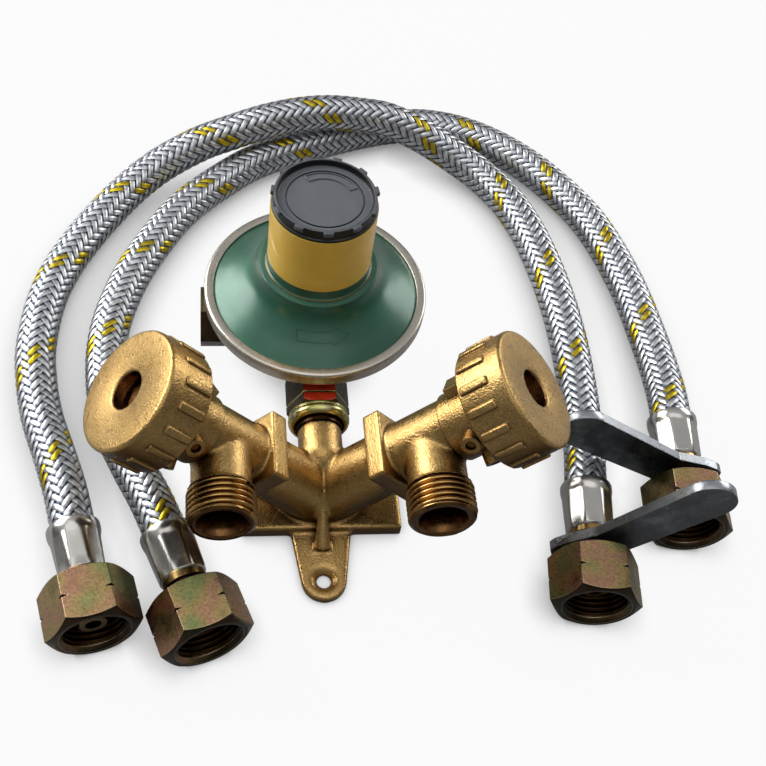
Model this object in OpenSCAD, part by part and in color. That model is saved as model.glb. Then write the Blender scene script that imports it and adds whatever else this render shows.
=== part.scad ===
// Two cylinder gas regulator set: valve manifold, membrane regulator, two braided hoses and keys.
// Frame in mm: back of the manifold on z = 0, centre of the fixing hole on x = 0, y = 0,
// regulator towards +Y, the two hand valves towards -X and +X, both leaning up at valve_tilt.

/* [Manifold] */
// Height of the base plate
plate_t = 5.1; // [3:0.1:7]
// Half width of the base plate
plate_half = 25; // [20:0.5:30]
// Front edge of the base plate from the fixing hole
plate_front = 16; // [12:0.5:20]
// Depth of the base plate along Y
plate_depth = 27; // [22:0.5:30]
// Thickness of the fixing tab
tab_t = 3; // [2:0.1:4.5]
// Radius of the tab's rounded tip
tab_tip_r = 6.9; // [6:0.1:9]
// Width of the tab where it meets the base plate
tab_root_w = 19; // [15:0.5:24]
// Fixing hole diameter
tab_hole_d = 4.2; // [3:0.1:5.5]
// Countersink diameter of the fixing hole
tab_sink_d = 8.3; // [6.5:0.1:10]
// Width of the nose rib over the tab
rib_w = 5.2; // [4:0.2:7]
// Distance of the valve crossing from the fixing hole
cross_y = 27; // [24:0.5:30]
// Height of the valve crossing over the back face
cross_z = 6; // [4:0.5:8]
// Radius of the two arms and valve barrels
arm_r = 9.6; // [8.8:0.1:10.4]
// Radius of the gas passages
passage_r = 2.2; // [1.5:0.1:2.6]

/* [Valve body] */
// Start of the square block along the valve axis
block_at = 27; // [24:0.5:29]
// Length of the square block
block_t = 6; // [4:0.5:8]
// Width across the square block
block_w = 22; // [20:0.5:25]
// Length of the barrel above the block
barrel_len = 20; // [19:0.5:24]
// Radius of the valve chamber
chamber_r = 6.5; // [6.2:0.1:7]
// Depth of the valve chamber under the bonnet
chamber_depth = 14.6; // [14.2:0.1:16]
// Height of the raised valve seat
seat_h = 0.6; // [0.4:0.1:1]
// Width of the raised valve seat lip
seat_w = 0.9; // [0.6:0.1:1.4]

/* [Inlet ports] */
// Distance of the port axis below the top of the barrel
port_drop = 9.2; // [8.6:0.1:10]
// Reach of the port mouth from the valve axis
port_reach = 27.5; // [24:0.5:32]
// Outside diameter of the port thread
port_d = 20; // [18:0.5:22]
// Length of the port thread
port_len = 10.5; // [8:0.5:13]
// Diameter of the port neck behind the thread
port_neck_d = 17.4; // [15:0.2:18]
// Diameter of the port bore
port_bore_d = 11.6; // [9:0.2:12]
// Mouth diameter of the port's cone seat
port_cone_d = 15; // [13:0.2:16]

/* [Bonnet] */
// Radius of the bonnet collar
bonnet_r = 10.5; // [10:0.1:11.5]
// Length of the bonnet collar
bonnet_len = 11; // [9:0.5:12]
// Depth of the bonnet spigot in the barrel
spigot_len = 2.5; // [1.5:0.1:2.6]
// Diameter of the round pin bosses
boss_d = 5.6; // [4:0.1:6]
// Reach of the pin bosses from the valve axis
boss_reach = 14.2; // [12:0.1:15]
// Angle of each pin boss from the front
boss_angle = 26; // [20:1:32]
// Diameter of the pressed pins
boss_pin_d = 3; // [1.6:0.1:3.4]
// Width of the side lugs
lug_w = 6.5; // [5:0.1:8]
// Reach of the side lugs from the valve axis
lug_reach = 13.2; // [11.5:0.1:14]
// Height of the side lugs
lug_h = 4.6; // [3.5:0.1:6]

/* [Spindle and handwheel] */
// Radius of the spindle
spindle_r = 4.5; // [4:0.1:5]
// Width of the spindle's square drive
drive_w = 6; // [5:0.1:6.3]
// Bore of the spindle around the plug tail
tail_r = 2.5; // [2:0.1:2.8]
// Height of the packing ring
packing_h = 3; // [2:0.1:4]
// Radius of the packing and gland nut
gland_r = 6.45; // [6.1:0.05:6.8]
// Outside radius of the handwheel with its bars
wheel_r = 19; // [17:0.5:22]
// Height of the handwheel
wheel_h = 15; // [13:0.5:18]
// Wall of the handwheel skirt
wheel_wall = 2.2; // [1.6:0.1:3]
// Thickness of the handwheel face
wheel_face = 3.4; // [2.6:0.1:4.2]
// Number of grip bars round the handwheel
wheel_bars = 16; // [12:1:20]
// Height of the grip bars
bar_h = 0.8; // [0.5:0.1:1.2]
// Length of the grip bars along the rim
bar_len = 9; // [7:0.5:11]
// Radius of the recess in the handwheel face
recess_r = 5.6; // [5:0.1:6.5]
// Depth of the recess in the handwheel face
recess_depth = 7; // [4:0.5:8]
// Lift of the valve plug from closed to open
plug_lift = 3; // [2:0.1:3]

/* [Union] */
// Radius of the manifold stem
stem_r = 6.9; // [6.7:0.1:7.6]
// Height of the stem axis
stem_z = 17; // [15:0.5:19]
// Distance of the stem shoulder from the fixing hole
stem_end = 43.5; // [42:0.5:46]
// Radius of the stem's thread
stem_thread_r = 6.2; // [5.8:0.1:6.4]
// Thickness of the copper ring on the stem
ring_t = 1.5; // [1:0.1:2]
// Width across flats of the union nut
union_af = 17.2; // [16.5:0.1:20]
// Length of the union nut
union_len = 9; // [8:0.5:10]
// Radius of the inlet nipple's neck
inlet_neck_r = 4.6; // [4.2:0.1:5]
// Radius of the red sleeve
sleeve_r = 5.65; // [5.4:0.05:6.2]
// Length of the sleeve between nut and regulator
sleeve_len = 8.5; // [7:0.5:10]

/* [Regulator] */
// Distance of the regulator axis behind the sleeve
reg_back = 24.5; // [23.5:0.5:27]
// Radius of the regulator inlet boss
inlet_boss_r = 9.75; // [9:0.05:10.5]
// Bottom of the regulator hub over the back face
hub_z = 6; // [4:0.5:7]
// Radius of the regulator hub
hub_r = 19; // [18.5:0.5:20.5]
// Radius of the lever chamber in the hub
lever_room_r = 16; // [15.5:0.1:16.5]
// Radius of the lower case at the rim
case_r = 34; // [33.6:0.1:34.4]
// Width of the clamped flanges beyond the case
flange_lip = 1.2; // [1:0.1:3]
// Height of the flange joint over the back face
joint_z = 33; // [32:0.5:35]
// Thickness of the membrane
membrane_t = 0.8; // [0.5:0.1:1.2]
// Thickness of the cover sheet
cover_t = 1.3; // [1:0.1:1.6]
// Thickness of the crimp ring sheet
crimp_t = 0.7; // [0.5:0.1:1]
// Width of the crimp ring over the cover
crimp_lap = 2.4; // [1.8:0.1:3]
// Height of the neck base over the joint
neck_rise = 15; // [13:0.5:17]
// Radius of the cover neck
neck_r = 16; // [15.5:0.1:17]
// Height of the neck top over the joint
neck_top = 40.5; // [38:0.5:44]
// Height of the label band
label_h = 21.4; // [18:0.2:21.4]
// Thickness of the label band
label_t = 0.25; // [0.15:0.05:0.4]
// Width across flats of the outlet hexagon
outlet_af = 18; // [16:0.5:19]
// Reach of the outlet hexagon from the regulator axis
outlet_reach = 37; // [36:0.5:42]
// Height of the outlet axis
outlet_z = 20.5; // [19.5:0.5:21]
// Radius of the outlet's threaded hole
outlet_bore_r = 5.7; // [4.8:0.1:6.5]
// Depth of the outlet's threaded hole
outlet_depth = 11; // [9:0.5:12]

/* [Regulator inside] */
// Width of the membrane's free ring round its plate
free_ring = 12.5; // [12.5:0.5:14]
// Thickness of the membrane plate
disc_t = 1.2; // [1:0.1:1.5]
// Travel of the membrane plate
disc_travel = 2; // [1:0.1:2]
// Wire radius of the main spring
spring_wire = 1; // [0.7:0.1:1.2]
// Mean radius of the main spring
spring_r = 9.5; // [9.2:0.1:11]
// Turns of the main spring
spring_turns = 6; // [4:1:7]
// Thickness of the adjuster disc
adjuster_t = 3.5; // [3:0.1:4]
// Width of the lever
lever_w = 5; // [4:0.1:5.4]
// Radius of the lever pin
lever_pin_r = 1.25; // [1:0.05:1.5]
// Radius of the jet nozzle
jet_r = 2; // [1.6:0.1:2.4]

/* [Cap] */
// Radius of the cap rim
cap_r = 15.6; // [15.2:0.1:16.2]
// Height of the cap rim over the neck
cap_h = 4; // [3.5:0.1:5]
// Radius of the recessed face
cap_face_r = 12.7; // [11.5:0.1:13]
// Depth of the recessed face under the rim
cap_recess = 2.9; // [2:0.1:3.2]
// Number of lugs round the cap
cap_lugs = 11; // [8:1:14]
// Length of the cap's thread in the neck
cap_plug = 6.5; // [5:0.1:7]

/* [Hose ends] */
// Width across flats of the hose nuts
nut_af = 24; // [23:0.5:26]
// Length of the hose nuts
nut_len = 16.2; // [15:0.2:18]
// Radius of the thread inside the hose nuts
nut_thread_r = 8.9; // [8.6:0.1:9.4]
// Depth of the thread inside the hose nuts
nut_depth = 12.4; // [11.5:0.1:13]
// Radius of the nipple neck in the nut
neck_hose_r = 5; // [4.4:0.1:5.6]
// Radius of the nipple's flange
nose_flange_r = 8.2; // [7.6:0.1:8.4]
// Length of the nose in front of the nipple's flange
nose_len = 3.2; // [2:0.1:4.2]
// Neck from flange to ferrule on a hose end without a key
neck_plain = 9.2; // [8:0.1:10.5]
// Neck from flange to ferrule on a hose end with a key
neck_keyed = 13.2; // [13:0.1:15]
// Radius of the nipple bore
nose_bore_r = 2.3; // [1.8:0.1:2.8]
// Length of the crimped ferrule
ferrule_len = 16.5; // [14:0.5:22]
// Width across the flats of the crimped ferrule
ferrule_af = 15.2; // [14.4:0.1:15.6]
// Thickness of the collar in front of the ferrule
collar_t = 1.8; // [1:0.1:1.8]
// Outside radius of the braided hose
hose_r = 6.7; // [6.2:0.1:7]

/* [Keys] */
// Thickness of the key plates
key_t = 3; // [2:0.1:3]
// Reach of a key from its hose
key_reach = 49; // [40:0.5:52]
// Half width of the key's handle
key_half = 7.8; // [6.5:0.1:9]
// Half width of the key's head
key_head = 9.6; // [9:0.1:11]
// Clearance of the key's hole round the neck
key_clear = 0.35; // [0.3:0.05:0.8]

/* [Fits] */
// Radial clearance of turning and sliding fits
run_gap = 0.08; // [0.04:0.01:0.1]
// Gap between faces that move past each other
face_gap = 0.1; // [0.05:0.01:0.2]
// Radial clearance of threads and pressed-in pieces
seat_gap = 0.05; // [0.02:0.01:0.08]

/* [Hidden] */
$fn = 48;
valve_tilt = 45;

// heights along the valve axis, measured from the crossing
flange_r = case_r + flange_lip;
crimp_inner_r = flange_r - crimp_lap;
disc_r = case_r - free_ring;
barrel_at = block_at + block_t;
barrel_top = barrel_at + barrel_len;
port_at = barrel_top - port_drop;
chamber_floor = barrel_top - chamber_depth;
bonnet_top = barrel_top + bonnet_len;
spigot_end = barrel_top - spigot_len;
flange_t = 1.5;
flange_top = spigot_end - face_gap;
spindle_low = flange_top - flange_t - 1.4;
pad_t = 1.15;
pad_low = chamber_floor + seat_h + face_gap / 2;
plug_low = pad_low + pad_t;
plug_t = 2.8;
plug_top = plug_low + plug_t;
tail_top = spindle_low + 3;
packing_top = bonnet_top - 4;
packing_low = packing_top - packing_h;
gland_hex_t = 1.6;
wheel_low = bonnet_top + 1;
wheel_top = wheel_low + wheel_h;
hub_low = bonnet_top + gland_hex_t + 0.8;
recess_floor = wheel_top - recess_depth;
drive_low = hub_low - 0.4;
wheel_nut_t = 2.2;
tail_room = tail_top + plug_lift + 1.5;
seat_pocket = passage_r + seat_w;
boss_d_at = barrel_top + bonnet_len * 0.62;
lug_angle = 120;

whole = (bonnet_top + wheel_h) * 2;

// places along Y of the union and the regulator
ring_end = stem_end + ring_t;
union_at = ring_end + face_gap;
union_end = union_at + union_len;
sleeve_at = union_end + 0.3;
boss_at = union_end + sleeve_len;
reg_y = boss_at + reg_back;
nipple_flange_t = 1.8;
nipple_flange_end = union_end - 1.5 - face_gap;
nipple_flange_at = nipple_flange_end - nipple_flange_t;
gasket_t = 1.2;
stem_tip = nipple_flange_at - gasket_t;
line_y = union_end + sleeve_len / 2;
line_t = 0.4;
jet_shoulder = reg_y - lever_room_r;
jet_seat = jet_shoulder - 4;
jet_tip = jet_shoulder + 2.2;
jet_body_r = 3.45;
pad_y = jet_tip + face_gap / 2;
jet_pad_t = 1.2;
pivot_y = jet_tip + 3.3;
pivot_z = stem_z - 4.8;
roller_r = 1.2;
disc_z = joint_z;
roller_z = stem_z + 1.8;
hub_floor = hub_z + 3;
cover_z = joint_z + membrane_t;
neck_base = joint_z + neck_rise;
neck_end = joint_z + neck_top;
neck_in = neck_r - cover_t;
cap_top = neck_end + cap_h;
cap_low = neck_end - cap_plug;
adjuster_top = cap_low - 1.5;
adjuster_low = adjuster_top - adjuster_t;
spring_low = disc_z + disc_t;
key_from_3 = 2.5;

// hose ends: mouth x, mouth y, heading from +Y towards +X, gap behind the nut
ends = [[-65.8, -20.5, -14, 2.2], [-34.2, -24.3, -20, 5.4], [78.6, -16.1, 6.6, 8.5], [113.3, 8.5, 5.7, 9.2]];
necks = [neck_plain, neck_plain, neck_keyed, neck_keyed];
function flange_at(i) = nut_len + ends[i][3] - necks[i];
nut_z = nut_af / 2;
end_len = [for (e = ends) nut_len + e[3] + ferrule_len];
function heading(i) = [sin(ends[i][2]), cos(ends[i][2]), 0];
function end_point(i, d) = [ends[i][0], ends[i][1], nut_z] + heading(i) * d;

// hand chosen route points of the two loose hoses, between their ferrules
mid_a = [[-77.6, 27, 11.2], [-82, 41, 9], [-87, 56, 7.4], [-90, 70, 7], [-91.4, 86, 7], [-89, 108, 7],
  [-81.6, 129, 7], [-68.3, 152, 7.6], [-54.5, 167.5, 10], [-39, 176.5, 14], [-26, 180.3, 17.4], [-12.5, 183.6, 20.4],
  [0, 186.6, 21.4], [12, 188.4, 21.3], [24, 188.6, 20.2], [35, 187.4, 19], [48, 184, 14.6], [60, 178.6, 10],
  [71, 169.4, 7.4], [79.5, 156, 7], [85, 140, 7], [88.4, 122, 7], [90.2, 106, 7], [90.8, 88, 7],
  [90.2, 70, 7], [88.6, 54, 8], [86, 38, 10.4]];
mid_b = [[-52.2, 24, 11.2], [-58.6, 38, 9], [-65, 54, 7.4], [-67.9, 71.7, 7], [-68.1, 88.4, 7], [-65, 105, 7],
  [-58.2, 123.8, 7], [-44.1, 149, 7], [-25.4, 168.5, 7], [-12.5, 177.8, 7], [4, 185.4, 7], [20, 191.6, 7],
  [36, 196.4, 7], [52, 198, 7], [68, 193.6, 7], [83, 183.6, 7], [96.5, 168.6, 7], [109.5, 146, 7],
  [117, 118, 7], [119.8, 90, 7.4], [119.6, 66, 9.6]];
function route(i, j, mid) = concat([end_point(i, end_len[i] - 8), end_point(i, end_len[i])], mid,
  [end_point(j, end_len[j]), end_point(j, end_len[j] - 8)]);
function curve(p, k, t) = let (a = p[k - 1], b = p[k], c = p[k + 1], d = p[k + 2])
  0.5 * ((2 * b) + (c - a) * t + (2 * a - 5 * b + 4 * c - d) * t * t + (3 * b - a - 3 * c + d) * t * t * t);
function unit(v) = v / norm(v);
hose_sides = 12;
module sweep(p, first, last) {
  n = len(p) - 3;
  pts = [for (k = [0:n]) p[k + 1]];
  tan = [for (k = [0:n]) k == 0 ? first : k == n ? last : unit(pts[k + 1] - pts[k - 1])];
  ring = [for (k = [0:n]) let (s = unit(cross(tan[k], [0, 0, 1])), u = cross(s, tan[k]))
    [for (a = [0:hose_sides - 1]) pts[k] + hose_r * (s * cos(360 * a / hose_sides) + u * sin(360 * a / hose_sides))]];
  all = [for (k = [0:n]) for (v = ring[k]) v];
  side = [for (k = [0:n - 1]) for (a = [0:hose_sides - 1]) let (b = (a + 1) % hose_sides, o = k * hose_sides)
    [o + a, o + b, o + hose_sides + b, o + hose_sides + a]];
  tri = [for (f = side) for (t = [[f[0], f[2], f[1]], [f[0], f[3], f[2]]]) t];
  cap0 = [[for (a = [0:hose_sides - 1]) a]];
  cap1 = [[for (a = [hose_sides - 1:-1:0]) n * hose_sides + a]];
  polyhedron(all, concat(tri, cap0, cap1), convexity = 6);
}

// frames
module on_side(s) {
  if (s > 0) children();
  else mirror([1, 0, 0]) children();
}
module on_valve(s) {
  on_side(s) translate([0, cross_y, cross_z]) rotate([0, valve_tilt, 0]) children();
}
module along_y(y, z) {
  translate([0, y, z]) rotate([-90, 0, 0]) children();
}
module on_reg() {
  translate([0, reg_y, 0]) children();
}
module on_end(i) {
  translate([ends[i][0], ends[i][1], nut_z]) rotate([0, 0, -ends[i][2]]) rotate([-90, 0, 0]) children();
}
module tube(r_out, r_in, low, high) {
  difference() {
    translate([0, 0, low]) cylinder(r = r_out, h = high - low);
    translate([0, 0, low - 1]) cylinder(r = r_in, h = high - low + 2);
  }
}
module hex(af, low, high) {
  translate([0, 0, low]) cylinder(r = af / 2 / cos(30), h = high - low, $fn = 6);
}

// manifold casting
module tab() {
  difference() {
    linear_extrude(tab_t) union() {
      circle(r = tab_tip_r);
      polygon([[-tab_root_w / 2, plate_front + 1], [-tab_tip_r + 0.1, -1.2], [tab_tip_r - 0.1, -1.2], [tab_root_w / 2, plate_front + 1]]);
    }
    translate([0, 0, -1]) cylinder(d = tab_hole_d, h = tab_t + 2);
    translate([0, 0, tab_t - (tab_sink_d - tab_hole_d) / 2]) cylinder(d1 = tab_hole_d, d2 = tab_sink_d + 0.02, h = (tab_sink_d - tab_hole_d) / 2 + 0.01);
  }
}
module nose_rib() {
  translate([0, plate_front - 6, tab_t]) rotate([-44, 0, 0]) cylinder(r1 = rib_w / 2, r2 = rib_w / 4.4, h = cross_z + 10.6);
}
module valve_solid() {
  cylinder(r = arm_r, h = barrel_top);
  translate([-block_w / 2, -block_w / 2, block_at]) cube([block_w, block_w, block_t]);
  translate([0, 0, port_at]) rotate([90, 0, 0]) {
    cylinder(d = port_neck_d, h = port_reach - 1);
    translate([0, 0, port_reach - port_len]) cylinder(d = port_d, h = port_len - 0.8);
    translate([0, 0, port_reach - 0.8]) cylinder(d1 = port_d, d2 = port_d - 1.6, h = 0.8);
  }
}
module valve_hollow() {
  translate([0, 0, -0.5]) cylinder(r = passage_r, h = barrel_top);
  difference() {
    translate([0, 0, chamber_floor]) cylinder(r = chamber_r, h = chamber_depth + 1);
    translate([0, 0, chamber_floor - 1]) cylinder(r = seat_pocket, h = seat_h + 1);
  }
  translate([0, 0, port_at]) rotate([90, 0, 0]) {
    translate([0, 0, seat_pocket + 1.4]) cylinder(d = port_bore_d, h = port_reach);
    translate([0, 0, port_reach - 3]) cylinder(d1 = port_bore_d, d2 = port_cone_d, h = 3.01);
  }
}
module manifold() {
  color([0.72, 0.55, 0.28]) difference() {
    union() {
      intersection() {
        for (s = [-1, 1]) on_valve(s) valve_solid();
        translate([-whole, -whole, 0]) cube([whole * 2, whole * 2, whole]);
      }
      translate([-plate_half, plate_front, 0]) cube([plate_half * 2, plate_depth, plate_t]);
      tab();
      nose_rib();
      translate([0, cross_y + 7, stem_z]) sphere(r = stem_r);
      along_y(cross_y + 7, stem_z) cylinder(r = stem_r, h = stem_end - cross_y - 7);
      along_y(stem_end - 1, stem_z) cylinder(r = stem_thread_r, h = stem_tip - stem_end + 1);
    }
    for (s = [-1, 1]) on_valve(s) valve_hollow();
    translate([0, cross_y, cross_z]) rotate([-90, 0, 0]) cylinder(r = passage_r, h = 4.5);
    translate([0, cross_y + 4.5, cross_z - passage_r]) cylinder(r = passage_r, h = stem_z - cross_z + passage_r);
    along_y(cross_y + 4.5, stem_z) cylinder(r = passage_r, h = stem_tip - cross_y);
  }
}

// bonnet with its pin bosses and lugs
module boss_spot(a) {
  translate([0, 0, boss_d_at]) rotate([0, 0, a]) rotate([90, 0, 0]) children();
}
module bonnet() {
  color([0.7, 0.52, 0.25]) difference() {
    union() {
      translate([0, 0, spigot_end]) cylinder(r = chamber_r - seat_gap, h = spigot_len + 1);
      translate([0, 0, barrel_top]) cylinder(r = bonnet_r, h = bonnet_len - 0.8);
      translate([0, 0, bonnet_top - 0.8]) cylinder(r1 = bonnet_r, r2 = bonnet_r - 0.8, h = 0.8);
      for (s = [-1, 1]) boss_spot(s * boss_angle) translate([0, 0, bonnet_r - 1.5]) cylinder(d = boss_d, h = boss_reach - bonnet_r + 1.5);
      for (s = [-1, 1]) rotate([0, 0, s * lug_angle - 90]) translate([bonnet_r - 1.5, -lug_w / 2, boss_d_at - lug_h / 2]) cube([lug_reach - bonnet_r + 1.5, lug_w, lug_h]);
    }
    translate([0, 0, spigot_end - 1]) cylinder(r = spindle_r + run_gap, h = bonnet_len + spigot_len + 2);
    translate([0, 0, packing_low]) cylinder(r = gland_r + seat_gap, h = bonnet_top - packing_low + 1);
    for (s = [-1, 1]) boss_spot(s * boss_angle) translate([0, 0, bonnet_r - 2]) cylinder(d = boss_pin_d, h = boss_reach - 1);
  }
}
module bonnet_l() { on_valve(-1) bonnet(); }
module bonnet_r() { on_valve(1) bonnet(); }
module boss_pins() {
  color([0.75, 0.75, 0.76]) for (v = [-1, 1]) on_valve(v) for (s = [-1, 1]) boss_spot(s * boss_angle)
    translate([0, 0, bonnet_r - 2]) cylinder(d = boss_pin_d, h = boss_reach - bonnet_r + 1.2);
}
module packing() {
  color([0.12, 0.12, 0.12]) tube(gland_r, spindle_r + run_gap, packing_low, packing_top);
}
module packing_l() { on_valve(-1) packing(); }
module packing_r() { on_valve(1) packing(); }
module gland_nut() {
  color([0.7, 0.54, 0.28]) difference() {
    union() {
      translate([0, 0, packing_top]) cylinder(r = gland_r, h = bonnet_top - packing_top + 0.5);
      hex(gland_r * 2, bonnet_top, bonnet_top + gland_hex_t);
    }
    translate([0, 0, packing_top - 1]) cylinder(r = spindle_r + run_gap, h = bonnet_len);
  }
}
module gland_nut_l() { on_valve(-1) gland_nut(); }
module gland_nut_r() { on_valve(1) gland_nut(); }

// turning spindle, handwheel and its nut
module spindle() {
  color([0.74, 0.6, 0.34]) difference() {
    union() {
      translate([0, 0, spindle_low]) cylinder(r = spindle_r, h = drive_low - spindle_low);
      translate([0, 0, flange_top - flange_t]) cylinder(r = chamber_r - 0.7, h = flange_t);
      translate([-drive_w / 2, -drive_w / 2, drive_low - 0.5]) cube([drive_w, drive_w, recess_floor - drive_low]);
      translate([0, 0, recess_floor - 1]) cylinder(r = drive_w * 0.36, h = wheel_nut_t + 1.4);
    }
    translate([0, 0, spindle_low - 1]) cylinder(r = tail_r + run_gap, h = tail_room - spindle_low + 1);
  }
}
module spindle_l() { on_valve(-1) spindle(); }
module spindle_r_() { on_valve(1) spindle(); }
module wheel_blank() {
  ro = wheel_r - bar_h;
  rotate_extrude($fn = 96) polygon([[0, recess_floor], [0, hub_low], [7.4, hub_low], [7.4, wheel_top - wheel_face - 1.2],
    [8.6, wheel_top - wheel_face], [ro - wheel_wall - 1.2, wheel_top - wheel_face], [ro - wheel_wall, wheel_top - wheel_face - 1.2],
    [ro - wheel_wall, wheel_low], [ro - 0.5, wheel_low], [ro, wheel_low + 0.5], [ro, wheel_top - 1.5], [ro - 0.2, wheel_top - 0.8],
    [ro - 0.7, wheel_top - 0.25], [ro - 1.5, wheel_top], [recess_r + 0.5, wheel_top], [recess_r, wheel_top - 0.5], [recess_r, recess_floor]]);
}
module handwheel() {
  color([0.76, 0.6, 0.32]) difference() {
    union() {
      wheel_blank();
      for (k = [0:wheel_bars - 1]) rotate([0, 0, (k + 0.5) * 360 / wheel_bars]) intersection() {
        translate([wheel_r - bar_h - 1, -1.6, wheel_low + 0.9]) cube([bar_h + 1.5, 3.2, bar_len]);
        translate([wheel_r - 2, 0, wheel_low]) cylinder(r = 2, h = wheel_h, $fn = 24);
      }
    }
    translate([-drive_w / 2 - seat_gap, -drive_w / 2 - seat_gap, hub_low - 1]) cube([drive_w + seat_gap * 2, drive_w + seat_gap * 2, wheel_h]);
  }
}
module handwheel_l() { on_valve(-1) handwheel(); }
module handwheel_r() { on_valve(1) handwheel(); }
module wheel_nut() {
  color([0.75, 0.75, 0.72]) difference() {
    hex(8, recess_floor, recess_floor + wheel_nut_t);
    translate([0, 0, recess_floor - 1]) cylinder(r = drive_w * 0.36 + seat_gap, h = 6);
  }
}
module wheel_nut_l() { on_valve(-1) wheel_nut(); }
module wheel_nut_r() { on_valve(1) wheel_nut(); }

// sliding plug with its rubber pad
module plug() {
  color([0.74, 0.6, 0.34]) {
    translate([0, 0, plug_low]) cylinder(r = chamber_r - 1, h = plug_t);
    translate([0, 0, plug_top - 0.5]) cylinder(r = tail_r, h = tail_top - plug_top + 0.5);
  }
}
module plug_l() { on_valve(-1) plug(); }
module plug_r() { on_valve(1) plug(); }
module seat_pad() {
  color([0.1, 0.1, 0.1]) translate([0, 0, pad_low]) cylinder(r = seat_pocket + 1.2, h = pad_t);
}
module seat_pad_l() { on_valve(-1) seat_pad(); }
module seat_pad_r() { on_valve(1) seat_pad(); }

// union between manifold and regulator
module stem_ring() {
  color([0.72, 0.42, 0.25]) along_y(0, stem_z) tube(stem_r + 0.4, stem_thread_r + seat_gap, stem_end, ring_end);
}
module union_nut() {
  color([0.78, 0.72, 0.4]) along_y(0, stem_z) difference() {
    intersection() {
      hex(union_af, union_at, union_end);
      rotate_extrude() polygon([[0, union_at], [union_af / 2 - 1.2, union_at], [union_af / 2 + 0.7, union_at + 2.4],
        [union_af / 2 + 0.7, union_end - 1.6], [union_af / 2 - 0.9, union_end], [0, union_end]]);
    }
    translate([0, 0, union_at - 1]) cylinder(r = stem_thread_r + run_gap, h = nipple_flange_end + face_gap - union_at + 1);
    translate([0, 0, union_at - 0.01]) cylinder(r1 = stem_thread_r + 1, r2 = stem_thread_r, h = 1.2);
    translate([0, 0, union_at]) cylinder(r = inlet_neck_r + run_gap, h = union_len + 1);
  }
}
module union_gasket() {
  color([0.15, 0.3, 0.2]) along_y(0, stem_z) tube(stem_thread_r - 0.6, passage_r, stem_tip, nipple_flange_at);
}
module inlet_nipple() {
  color([0.73, 0.58, 0.3]) along_y(0, stem_z) difference() {
    union() {
      translate([0, 0, nipple_flange_at]) cylinder(r = stem_thread_r - 0.4, h = nipple_flange_t);
      translate([0, 0, nipple_flange_at]) cylinder(r = inlet_neck_r, h = jet_seat - nipple_flange_at);
      translate([0, 0, line_y - line_t / 2]) cylinder(r = sleeve_r + 0.25, h = line_t);
    }
    translate([0, 0, nipple_flange_at - 1]) cylinder(r = passage_r, h = reg_y);
  }
}
module red_sleeve() {
  color([0.75, 0.16, 0.08]) along_y(0, stem_z) {
    tube(sleeve_r, inlet_neck_r + seat_gap, sleeve_at, line_y - line_t / 2);
    tube(sleeve_r, inlet_neck_r + seat_gap, line_y + line_t / 2, boss_at);
  }
}

// regulator lower case with inlet boss, outlet hexagon and lever ears
module case_outer() {
  rotate_extrude($fn = 96) polygon([[0, hub_z], [hub_r - 2, hub_z], [hub_r, hub_z + 2], [hub_r + 0.6, stem_z - 1.3],
    [hub_r + 3, joint_z - 11.9], [case_r - 9.8, joint_z - 9], [case_r - 4, joint_z - 7], [case_r - 0.8, joint_z - 5], [case_r, joint_z - 2.4],
    [flange_r, joint_z - 1.4], [flange_r, joint_z], [0, joint_z]]);
}
module case_room() {
  rotate_extrude($fn = 96) polygon([[0, hub_floor], [lever_room_r, hub_floor], [lever_room_r, stem_z + 1.3], [hub_r + 0.8, joint_z - 10.1],
    [case_r - 11.4, joint_z - 7], [case_r - 5, joint_z - 4.8], [case_r - 2.8, joint_z - 3], [case_r - 2.4, joint_z + 0.01], [0, joint_z + 0.01]]);
}
module lever_ear(s) {
  translate([s > 0 ? lever_w / 2 + 0.5 : -lever_w / 2 - 4, pivot_y - reg_y - 2, hub_floor - 0.5]) cube([3.5, 4, pivot_z - hub_floor + 2.8]);
}
module reg_lower() {
  color([0.2, 0.2, 0.18]) difference() {
    union() {
      difference() {
        union() {
          on_reg() case_outer();
          along_y(boss_at, stem_z) cylinder(r = inlet_boss_r, h = reg_back - lever_room_r + 2);
          translate([-outlet_reach, reg_y, outlet_z]) rotate([0, 90, 0]) rotate([0, 0, 30]) hex(outlet_af, 0, outlet_reach - lever_room_r - 1);
        }
        on_reg() case_room();
      }
      on_reg() for (s = [-1, 1]) lever_ear(s);
    }
    along_y(boss_at - 1, stem_z) cylinder(r = inlet_neck_r + seat_gap, h = jet_seat - boss_at + 1);
    along_y(boss_at, stem_z) cylinder(r = jet_body_r + seat_gap, h = jet_shoulder - boss_at + 1);
    along_y(jet_shoulder, stem_z) cylinder(r = jet_body_r + 1, h = 1.5);
    translate([-outlet_reach - 1, reg_y, outlet_z]) rotate([0, 90, 0]) cylinder(r = outlet_bore_r, h = outlet_depth + 1);
    translate([-outlet_reach, reg_y, outlet_z]) rotate([0, 90, 0]) cylinder(r = outlet_bore_r * 0.6, h = outlet_reach - lever_room_r + 4);
    translate([-lever_w, pivot_y, pivot_z]) rotate([0, 90, 0]) translate([0, 0, -4]) cylinder(r = lever_pin_r, h = lever_w * 2 + 8);
  }
}
module jet() {
  color([0.75, 0.6, 0.32]) along_y(0, stem_z) difference() {
    union() {
      translate([0, 0, jet_seat]) cylinder(r = jet_body_r, h = jet_shoulder - jet_seat + 0.2);
      translate([0, 0, jet_shoulder]) cylinder(r = jet_body_r + 0.8, h = 1);
      translate([0, 0, jet_shoulder + 1]) cylinder(r1 = jet_body_r, r2 = jet_r, h = jet_tip - jet_shoulder - 1);
    }
    translate([0, 0, jet_seat - 1]) cylinder(r = jet_r / 2, h = lever_room_r);
  }
}
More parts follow.
